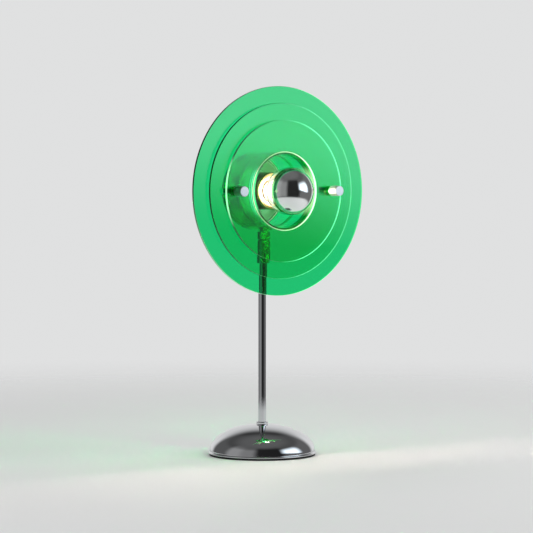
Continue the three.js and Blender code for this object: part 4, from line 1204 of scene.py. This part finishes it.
# %% [markdown]
# ## The lampholder
# A dark moulded cup stands on the plate. A warm brass ring closes its front with a half-round
# bead, and inside sits the porcelain with the screw shell. The shell's thread is a ridge pressed
# outwards.

# %% Cup and front ring
HOUSING_WALL = 1.9 * MM
HOUSING_FLOOR = 2.4 * MM
HOUSING_EDGES = [EDGE, 1.2 * MM, 0.3 * MM, SLIGHT, 0.5 * MM, EDGE]
ENTRY_HOLE = 2.6 * MM
ENTRY_DRILL = (housing_radius * 0.8, housing_radius * 1.2)
RING_WIDTH = 5.2 * MM
RING_SKIRT_WALL = 1.5 * MM
RING_SKIRT_LENGTH = 5.0 * MM
RING_CROWN = 1.8 * MM
RING_STEPS = 24

housing_bore = housing_radius - HOUSING_WALL
housing_outline = rounded(
    cup(NIPPLE_HOLE, housing_bore, housing_radius, housing_back, housing_front,
        housing_back + HOUSING_FLOOR), HOUSING_EDGES)
housing = drilled(
    turned("holder_cup", housing_outline, head_place),
    [drill(ENTRY_HOLE, *ENTRY_DRILL, from_below(LEAD_ENTRY))])
dress(housing, HEAD, "black_plastic", plastic, "lampholder_housing")

_, skirt_back, ring_front = size_along("lampholder_ring")
ring_back = skirt_back + RING_SKIRT_LENGTH
skirt_outside = housing_bore - HOLE_CLEARANCE
skirt_inside = skirt_outside - RING_SKIRT_WALL
ring_outline = np.concatenate([
    [[skirt_inside, skirt_back], [skirt_outside, skirt_back], [skirt_outside, ring_back],
     [housing_radius, ring_back]],
    ellipse_arc(RING_WIDTH / 2, RING_CROWN, ring_front - RING_CROWN, 0, math.pi, RING_STEPS,
                housing_radius - RING_WIDTH / 2),
    [[housing_radius - RING_WIDTH, ring_back], [skirt_inside, ring_back]],
])
lathe("holder_ring", ring_outline, head_place, HEAD, "bronze_ring", ring_brass, "lampholder_ring")

# %% Porcelain and screw shell
CORE_FLOOR = 4.4 * MM
CORE_EDGES = [EDGE, 0.6 * MM, 0.8 * MM, 0.6 * MM, 0.4 * MM, EDGE]
RIVET_HOLE = 2.1 * MM
SHELL_SHEET = 0.6 * MM
SHELL_RIDGE = 0.15 * MM
SHELL_THREAD = 0.12 * MM
SHELL_EDGE = 0.05 * MM
SHELL_ROWS = 14
SCREW_PITCH = 3.62 * MM
SCREW_DEPTH = 0.5 * MM

core_radius, core_back, core_front = size_along("lampholder_core")
screw_radius, screw_back, screw_front = size_along("lampholder_screw_shell")
core_outline = rounded(
    cup(RIVET_HOLE, screw_radius + HOLE_CLEARANCE, core_radius, core_back, core_front,
        core_back + CORE_FLOOR), CORE_EDGES)
lathe("holder_porcelain", core_outline, head_place, HEAD, "ceramic", porcelain, "lampholder_core")
shell_outline = rounded(
    stepped(screw_radius - SHELL_SHEET, screw_back, (screw_radius - SHELL_RIDGE, screw_front)),
    SHELL_EDGE)
lathe("holder_screw_shell", shell_outline, head_place,
      HEAD, "brass", brass, "lampholder_screw_shell", sides=96,
      thread=(SCREW_PITCH, SHELL_THREAD, screw_back, screw_front, 1, SHELL_ROWS))

# %% Fixing behind the plate
_, nipple_back, nipple_front = size_along("lampholder_nipple")
lathe("holder_nipple", ring_of("lampholder_nipple", NIPPLE_BORE, SLIGHT), head_place,
      HEAD, "brass", brass, "lampholder_nipple", sides=64,
      thread=(FINE_PITCH, FINE_THREAD, nipple_back, nipple_front, -1, FINE_ROWS))
lathe("holder_washer", ring_of("lampholder_washer", NIPPLE_HOLE, SLIGHT), head_place,
      HEAD, "steel", steel, "lampholder_washer")
nut_low, nut_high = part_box("lampholder_nut")
holder_nut_corner = max(nut_high.x - nut_low.x, nut_high.z - nut_low.z) / 2
hex_nut("holder_nut", "lampholder_nut", head_place, holder_nut_corner, -nut_high.y, -nut_low.y,
        steel, "steel")

# %% [markdown]
# ## The bulb
# The globe is blown glass with a real wall. Its front half is silvered inside, from its widest
# ring on, so that near the ring it mirrors the green plates behind it. The cap carries a rolled
# screw thread, and inside stand the glass mount and a coiled filament.

# %% Globe
GLASS_WALL = 0.9 * MM
NECK_INSET = 0.8 * MM
FLARE_WIDTH = 4.2 * MM
FLARE_PULL = 0.35
FLARE_STEPS = 24
GLOBE_STEPS = 96

globe_radius, glass_back, glass_front = size_along("bulb_glass")
globe_centre = glass_front - globe_radius
bulb_neck = cap_radius - NECK_INSET


def bulb_side(inset):
    """From the neck's open end along the neck and a smooth flare into the globe's circle. The
    flare is a cubic curve that leaves the neck straight and joins the globe along its circle."""
    radius = globe_radius - inset
    start = -math.acos((bulb_neck + FLARE_WIDTH - inset) / radius)
    globe = ellipse_arc(radius, radius, globe_centre, start, math.pi / 2, GLOBE_STEPS)
    neck = np.array([[bulb_neck - inset, glass_back], [bulb_neck - inset, cap_front + GLASS_WALL]])
    reach = np.linalg.norm(globe[0] - neck[1])
    one = neck[1] + np.array([0, 1.0]) * reach * FLARE_PULL
    two = globe[0] - unit(globe[1] - globe[0]) * reach * FLARE_PULL
    t = np.linspace(0, 1, FLARE_STEPS)[1:-1, None]
    flare = ((1 - t) ** 3 * neck[1] + 3 * (1 - t) ** 2 * t * one
             + 3 * (1 - t) * t ** 2 * two + t ** 3 * globe[0])
    return np.concatenate([neck, flare, globe])


glass_outline = np.concatenate([bulb_side(GLASS_WALL)[::-1], bulb_side(0)])
lathe("globe", glass_outline, head_place, BULB, "bulb_glass", glass, "bulb_glass", sides=160)
print("globe centre", round(globe_centre, 4), "ahead of the stem")

# %% Silvered crown
MIRROR_EDGE = 0.8 * MM
MIRROR_THICKNESS = 0.3 * MM
SILVER_GAP = 0.12 * MM
MIRROR_STEPS = 72
mirror_start = math.asin(MIRROR_EDGE / globe_radius)
mirror_radius = globe_radius - GLASS_WALL - SILVER_GAP
inner_crown, outer_crown = (
    ellipse_arc(radius, radius, globe_centre, mirror_start, math.pi / 2, MIRROR_STEPS)
    for radius in (mirror_radius - MIRROR_THICKNESS, mirror_radius))
lathe("silvered_crown", np.concatenate([inner_crown[::-1], outer_crown]), head_place,
      BULB, "silvering", silver, "bulb_mirror", sides=160)

# %% Cap, cement, insulator and tip
CAP_SHEET = 0.3 * MM
CAP_EDGE = 0.08 * MM
CAP_ROWS = 16
CAP_THREAD = (cap_back + 0.5 * MM, cap_front - 2 * MM)
INSULATOR_ROUNDING = 0.6 * MM
TIP_ROUNDING = 0.8 * MM
CEMENT_GAP = 0.05 * MM
CEMENT_FLOOR = 1.5 * MM
TIP_SEAT = 5.0 * MM

lathe("screw_cap", ring_of("bulb_cap", cap_radius - CAP_SHEET, CAP_EDGE), head_place,
      BULB, "brass", brass, "bulb_cap",
      thread=(SCREW_PITCH, SCREW_DEPTH, *CAP_THREAD, -1, CAP_ROWS))
cement_outer = cap_radius - CAP_SHEET - SCREW_DEPTH - CEMENT_GAP
cement_outline = np.array(
    cup(0, bulb_neck + CEMENT_GAP, cement_outer, cap_back, cap_front, cap_back + CEMENT_FLOOR))
lathe("cap_cement", cement_outline, head_place, BULB, "ceramic", porcelain, sides=96)
radius, back, front = size_along("bulb_insulator")
insulator_outline = rounded(
    [[0, back], [TIP_SEAT, back], [radius - SLIGHT, front], [0, front]],
    INSULATOR_ROUNDING)
lathe("cap_insulator", insulator_outline, head_place,
      BULB, "insulator", black_glass, "bulb_insulator", sides=96)
lathe("cap_tip", ring_of("bulb_contact", 0, [0, TIP_ROUNDING, SLIGHT, 0]), head_place,
      BULB, "steel", steel, "bulb_contact", sides=64)

# %% [markdown]
# The mount is a glass stem that flares where it is fused into the neck. A white disc of mica on
# it keeps the heat that the crown throws back away from the cap.

# %% Mount and heat shield
MOUNT_RADIUS = 3.0 * MM
MOUNT_FLARE_LENGTH = 9.0 * MM
MOUNT_FLARE_POWER = 2.5
MOUNT_TIP = 2 * MM
SHIELD_GAP = 0.3 * MM
SHIELD_THICKNESS = 0.5 * MM
SHIELD_AHEAD = 2.0 * MM

mount_flare, mount_back, mount_front = size_along("bulb_mount")
t = np.linspace(0, 1, FLARE_STEPS)
flare_curve = np.stack([
    MOUNT_RADIUS + (mount_flare - MOUNT_RADIUS) * (1 - t) ** MOUNT_FLARE_POWER,
    mount_back + MOUNT_FLARE_LENGTH * t,
], 1)
mount_end = rounded(stepped(0, mount_front - MOUNT_TIP, (MOUNT_RADIUS, mount_front)), [0, 0, MM, 0])
mount_outline = np.concatenate([[[0, mount_back]], flare_curve, mount_end[2:]])
lathe("glass_mount", mount_outline, head_place, BULB, "bulb_glass", glass, "bulb_mount", sides=64)

shield_back = cap_front + SHIELD_AHEAD
shield_hole = np.interp(shield_back, flare_curve[:, 1], flare_curve[:, 0]) + SLIGHT
shield_radius = bulb_neck - GLASS_WALL - SHIELD_GAP
shield_outline = rounded(
    stepped(shield_hole, shield_back, (shield_radius, shield_back + SHIELD_THICKNESS)), TINY)
lathe("heat_shield", shield_outline, head_place, BULB, "ceramic", mica, sides=96)

# %% [markdown]
# The filament is a fine coil that hangs in an arch between two wires. The arch is a smooth
# curve, and the coil turns round it at a steady rate, apart from both ends, which are straight.

# %% Filament
WIRE_RADIUS = 0.25 * MM
WIRE_SHARE = 0.6
WIRE_SIDES = 6
WIRE_SIDE = (0.31, 0.2, 0.93)
ARCH_POINTS = 1400
COIL_RADIUS = 0.45 * MM
COIL_TURNS = 46
STRAIGHT_END = 0.12
COIL_GROWTH = 0.02

fil_low, fil_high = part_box("bulb_filament")
span = (fil_high.x - fil_low.x) / 2 - COIL_RADIUS
foot, top = -fil_high.y + WIRE_RADIUS, -fil_low.y - COIL_RADIUS - WIRE_RADIUS
half_way = -(foot + top) / 2
arch = smooth_path([
    (x, y, HEAD_HEIGHT) for x, y in (
        (-MOUNT_RADIUS / 2, -foot), (-span, half_way), (-span / 2, -top),
        (span / 2, -top), (span, half_way), (MOUNT_RADIUS / 2, -foot))
], ARCH_POINTS)
arch_up = np.array([0, 0, 1.0])
arch_side = np.cross(unit(np.gradient(arch, axis=0)), arch_up)
progress = np.linspace(0, 1, len(arch))[:, None]
from_end = np.minimum(progress - STRAIGHT_END, 1 - STRAIGHT_END - progress)
winding = np.clip(from_end / COIL_GROWTH, 0, 1)
coil_angle = 2 * math.pi * COIL_TURNS * progress
coil_path = arch + winding * COIL_RADIUS * (
    np.cos(coil_angle) * arch_up + np.sin(coil_angle) * arch_side)
filament = swept("filament", coil_path, WIRE_RADIUS * WIRE_SHARE, WIRE_SIDES, WIRE_SIDE)
dress(filament, BULB, "tungsten", tungsten, "bulb_filament")

# %% [markdown]
# ## The lamp's own light
# A lit filament is far brighter than a mesh can sample cleanly, so four small warm lamps do its
# work and move with the bulb. The first lights the room from the filament's place. The second is
# the light that the silvered crown throws back on the holder and the plate. Metal also mirrors the
# filament, which is far brighter than its light on the floor tells, so the third is for mirrors
# alone. The last is the filament's image in the crown's left side, which the plate mirrors.

# %% Filament light
GLOW_POWER = 1.2
THROW_POWER = 0.7
SPARKLE_POWER = 9.0
IMAGE_POWER = 0.25
GLOW_SIZE = 6 * MM
THROW_SPREAD = math.radians(110)
THROW_DEPTH = 11.5 * MM
THROW_RADIUS = 25 * MM
IMAGE_OFFSET = 15 * MM
IMAGE_SIZE = (16 * MM, 30 * MM)
BACKWARDS = (math.pi / 2, 0, 0)
throw_y = -(globe_centre + THROW_DEPTH)
in_filament = (0, half_way, HEAD_HEIGHT)


def hide_from(thing, *rays):
    for ray in rays:
        setattr(thing, f"visible_{ray}", False)


def lamp(name, kind, power, color, place, hidden_from, turn=(0, 0, 0), **shape):
    data = bpy.data.lights.new(name, kind)
    for label, value in dict(shape, energy=power, color=color).items():
        setattr(data, label, value)
    made = add_object(name, data)
    made.location = place
    made.rotation_euler = turn
    hide_from(made, "camera", *hidden_from)
    print(f"{name}: {power} W")
    return made


for made in (
    lamp("filament glow", "POINT", GLOW_POWER, (1.0, 0.9, 0.72), in_filament, (),
         shadow_soft_size=GLOW_SIZE),
    lamp("crown throw", "AREA", THROW_POWER, (1.0, 0.93, 0.78), (0, throw_y, HEAD_HEIGHT),
         ("transmission", "glossy"), BACKWARDS, shape="DISK", size=2 * THROW_RADIUS,
         spread=THROW_SPREAD),
    lamp("filament sparkle", "POINT", SPARKLE_POWER, (1.0, 0.92, 0.76), in_filament,
         ("diffuse", "transmission"), shadow_soft_size=2 * GLOW_SIZE),
    lamp("filament image", "AREA", IMAGE_POWER, (1.0, 0.95, 0.84),
         (-IMAGE_OFFSET, throw_y, HEAD_HEIGHT), ("diffuse", "transmission"), BACKWARDS,
         shape="ELLIPSE", size=IMAGE_SIZE[0], size_y=IMAGE_SIZE[1]),
):
    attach(made, BULB)

# %% [markdown]
# ## The studio
# A plain pale floor, three soft boxes and a pale surround. What lies behind the lamp is pale for
# the eye, for mirrors and through the acrylic. Chrome lives from contrast, so for reflections
# alone the surround is darker on the side from which the photograph was taken. Far from the lamp
# the floor fades out before the pale surround, so that no horizon shows. In mirrors it ends
# sooner, as a table does.

# %% Floor
FLOOR_HALF = 6.0
FLOOR_TONE = (0.79, 0.795, 0.795)
FADE = (0.35, 1.6)
TABLE_END = (0.5, 0.8)
ANY_BOUNCE = 0.5


def rectangle(name, left, right, low, high):
    mesh = bpy.data.meshes.new(name)
    mesh.from_pydata(
        [(left, low, 0), (right, low, 0), (right, high, 0), (left, high, 0)], [], [(0, 1, 2, 3)])
    made = add_object(name, mesh)
    return made


def is_mirrored(tree):
    """1 for a ray that a mirror sent on, also if it then went through clear glass."""
    path = add_node(tree, "LightPath").outputs
    bounced = math_node(tree, "GREATER_THAN", path["Glossy Depth"], ANY_BOUNCE)
    through = times(tree, path["Is Transmission Ray"], bounced)
    return math_node(tree, "MAXIMUM", path["Is Glossy Ray"], through)


floor = rectangle("floor", -FLOOR_HALF, FLOOR_HALF, -FLOOR_HALF, FLOOR_HALF)
floor_finish, tree, shader = new_finish("floor", FLOOR_TONE, 0.0, 0.6)
floor.data.materials.append(floor_finish)
reach = vector_node(tree, "LENGTH", add_node(tree, "TexCoord").outputs["Object"])
beyond_table = times(tree, smooth(tree, reach, *TABLE_END), is_mirrored(tree))
gone = math_node(tree, "MAXIMUM", smooth(tree, reach, *FADE), beyond_table)
show(tree, choose(tree, gone, shader.outputs["BSDF"], clear_shader(tree)))

# %% Soft boxes
LAMP_MIDDLE = Vector((0, 0, 0.25))
for name, power, color, place, width, height in (
    ("key box", 13, (1.0, 0.99, 0.97), (1.05, -1.15, 1.05), 1.1, 1.0),
    ("fill box", 5, (0.93, 0.97, 1.0), (-1.7, -0.2, 0.9), 0.8, 1.2),
    ("top box", 14, (1.0, 1.0, 1.0), (0.2, 0.5, 2.2), 1.6, 1.6),
):
    turn = (LAMP_MIDDLE - Vector(place)).to_track_quat("-Z", "Y").to_euler()
    lamp(name, "AREA", power, color, place, ("glossy", "transmission"), turn,
         shape="RECTANGLE", size=width, size_y=height)

# %% [markdown]
# The window is a card that only mirrors see. It stands near the lamp on the right, so that the
# flat plates show its lower edge as a veil over their upper half, and the round crown shows all of
# it, small and bent. Its edges are soft, and its lower edge runs slightly down to the right.

# %% Window card
CARD_BEARING = math.radians(70)
CARD_DISTANCE = 1.5
CARD_HALF_WIDTH = 0.92
CARD_HEIGHT = 1.5
CARD_FOOT = 0.22
CARD_SLOPE = 0.25
CARD_COLOR = (0.82, 0.92, 1.0)
CARD_LIGHT = 2.0
CARD_FOOT_EDGE = (0.0, 0.22)
CARD_TOP_EDGE = (0.55, 1.45)
CARD_SIDE_EDGE = (0.3, 0.9)

aside = to_camera * math.cos(CARD_BEARING) + to_right * math.sin(CARD_BEARING)
card = rectangle("window card", -CARD_HALF_WIDTH, CARD_HALF_WIDTH, 0, CARD_HEIGHT)
card.location = Vector(aside * CARD_DISTANCE) + Vector((0, 0, CARD_FOOT))
card.rotation_euler = (math.pi / 2, 0, math.atan2(aside[0], -aside[1]) + math.pi)
hide_from(card, "camera", "diffuse", "shadow", "volume_scatter")
card_finish = bpy.data.materials.new("window card")
card_finish.use_nodes = True
card.data.materials.append(card_finish)
tree = card_finish.node_tree
tree.nodes.remove(tree.nodes["Principled BSDF"])
place = parts_of(tree, add_node(tree, "TexCoord").outputs["Object"])
sloped = math_node(tree, "SUBTRACT", place["Y"], times(tree, place["X"], CARD_SLOPE))
share = times(
    tree, is_mirrored(tree), smooth(tree, sloped, *CARD_FOOT_EDGE),
    smooth(tree, place["Y"], *CARD_TOP_EDGE, 1.0, 0.0),
    smooth(tree, math_node(tree, "ABSOLUTE", place["X"]), *CARD_SIDE_EDGE, 1.0, 0.0))
light = add_node(tree, "Emission", {"Color": (*CARD_COLOR, 1), "Strength": CARD_LIGHT})
show(tree, choose(tree, share, clear_shader(tree), light.outputs["Emission"]))
print("window card at", [round(x, 2) for x in card.location])

# %% [markdown]
# The surround is one smooth picture that mirrors see: pale behind the lamp, dark in front, grey on
# both sides and overhead, with a faint window to the left. Each patch of it lies between two
# bearings, counted from the camera to the right, and between two heights.

# %% Directions in the surround
world = bpy.data.worlds.new("studio")
bpy.context.scene.world = world
world.use_nodes = True
tree = world.node_tree
for node in list(tree.nodes):
    tree.nodes.remove(node)
direction = add_node(tree, "TexCoord").outputs["Generated"]
toward_front, rise_up, toward_right = (
    vector_node(tree, "DOT_PRODUCT", direction, tuple(way))
    for way in (to_camera, (0, 0, 1), to_right))
bearing = math_node(tree, "ARCTAN2", toward_right, toward_front)


def patch(left, right, low, high, edge, strength):
    """Strength between two bearings and two heights, in degrees, with soft edges."""
    left, right, edge = math.radians(left), math.radians(right), math.radians(edge)
    low, high = math.sin(math.radians(low)), math.sin(math.radians(high))
    wide, tall = (
        times(tree, smooth(tree, value, start - edge, start),
              smooth(tree, value, end, end + edge, 1.0, 0.0))
        for value, start, end in ((bearing, left, right), (rise_up, low, high)))
    return times(tree, wide, tall, strength)


# %% What mirrors see
DARK_FRONT = 0.02
PALE_BACK = 0.75
OVERHEAD = 0.12
BACK_RISE = (0.35, 0.85)
BACK_TURN = (-0.82, -0.6)
OVERHEAD_RISE = (0.7, 0.95)
LEFT_SIDE = (-150, -60, -50, 35, 20, 0.1)
RIGHT_SIDE = (60, 150, -50, 35, 20, 0.13)
FAINT_WINDOW = (-75, -26, -15, 35, 20, 0.24)

pale_back = times(
    tree, smooth(tree, rise_up, *BACK_RISE, PALE_BACK, OVERHEAD),
    smooth(tree, toward_front, *BACK_TURN, 1.0, 0.0))
mirror_world = math_node(tree, "ADD", pale_back, DARK_FRONT)
overhead = smooth(tree, rise_up, *OVERHEAD_RISE, 0.0, OVERHEAD)
for light in (overhead, patch(*LEFT_SIDE), patch(*RIGHT_SIDE), patch(*FAINT_WINDOW)):
    mirror_world = math_node(tree, "ADD", mirror_world, light)

# %% [markdown]
# The camera sees a pale backdrop instead, also straight through the acrylic, and all other rays
# get an even soft light.

# %% Surround
SOFT_LIGHT = 0.42
PALE = (0.745, 0.75, 0.752)
WHITE = (1, 1, 1)


def background(color, strength):
    settings = {"Color": (*color, 1), "Strength": strength}
    return add_node(tree, "Background", settings).outputs["Background"]


lighting = choose(
    tree, is_mirrored(tree), background(WHITE, SOFT_LIGHT), background(WHITE, mirror_world))
path = add_node(tree, "LightPath").outputs
unbounced = math_node(tree, "LESS_THAN", path["Glossy Depth"], ANY_BOUNCE)
straight = math_node(
    tree, "MAXIMUM", path["Is Camera Ray"], times(tree, path["Is Transmission Ray"], unbounced))
seen = choose(tree, straight, lighting, background(PALE, 1.0))
tree.links.new(seen, add_node(tree, "OutputWorld").inputs["Surface"])
print("surround of", len(tree.nodes), "nodes")

# %% [markdown]
# ## Light paths and the last lines
# A look through three plates and two tube walls crosses many surfaces, so rays get many bounces.
# Light focused by clear solids is left out: their shadows are clear already.

# %% Finish
scene = bpy.context.scene
scene.cycles.max_bounces = 40
scene.cycles.transmission_bounces = 40
scene.cycles.transparent_max_bounces = 64
scene.cycles.glossy_bounces = 8
scene.cycles.diffuse_bounces = 4
scene.cycles.caustics_refractive = False
scene.cycles.caustics_reflective = False
scene.cycles.sample_clamp_indirect = 6
scene.view_settings.view_transform = "Standard"
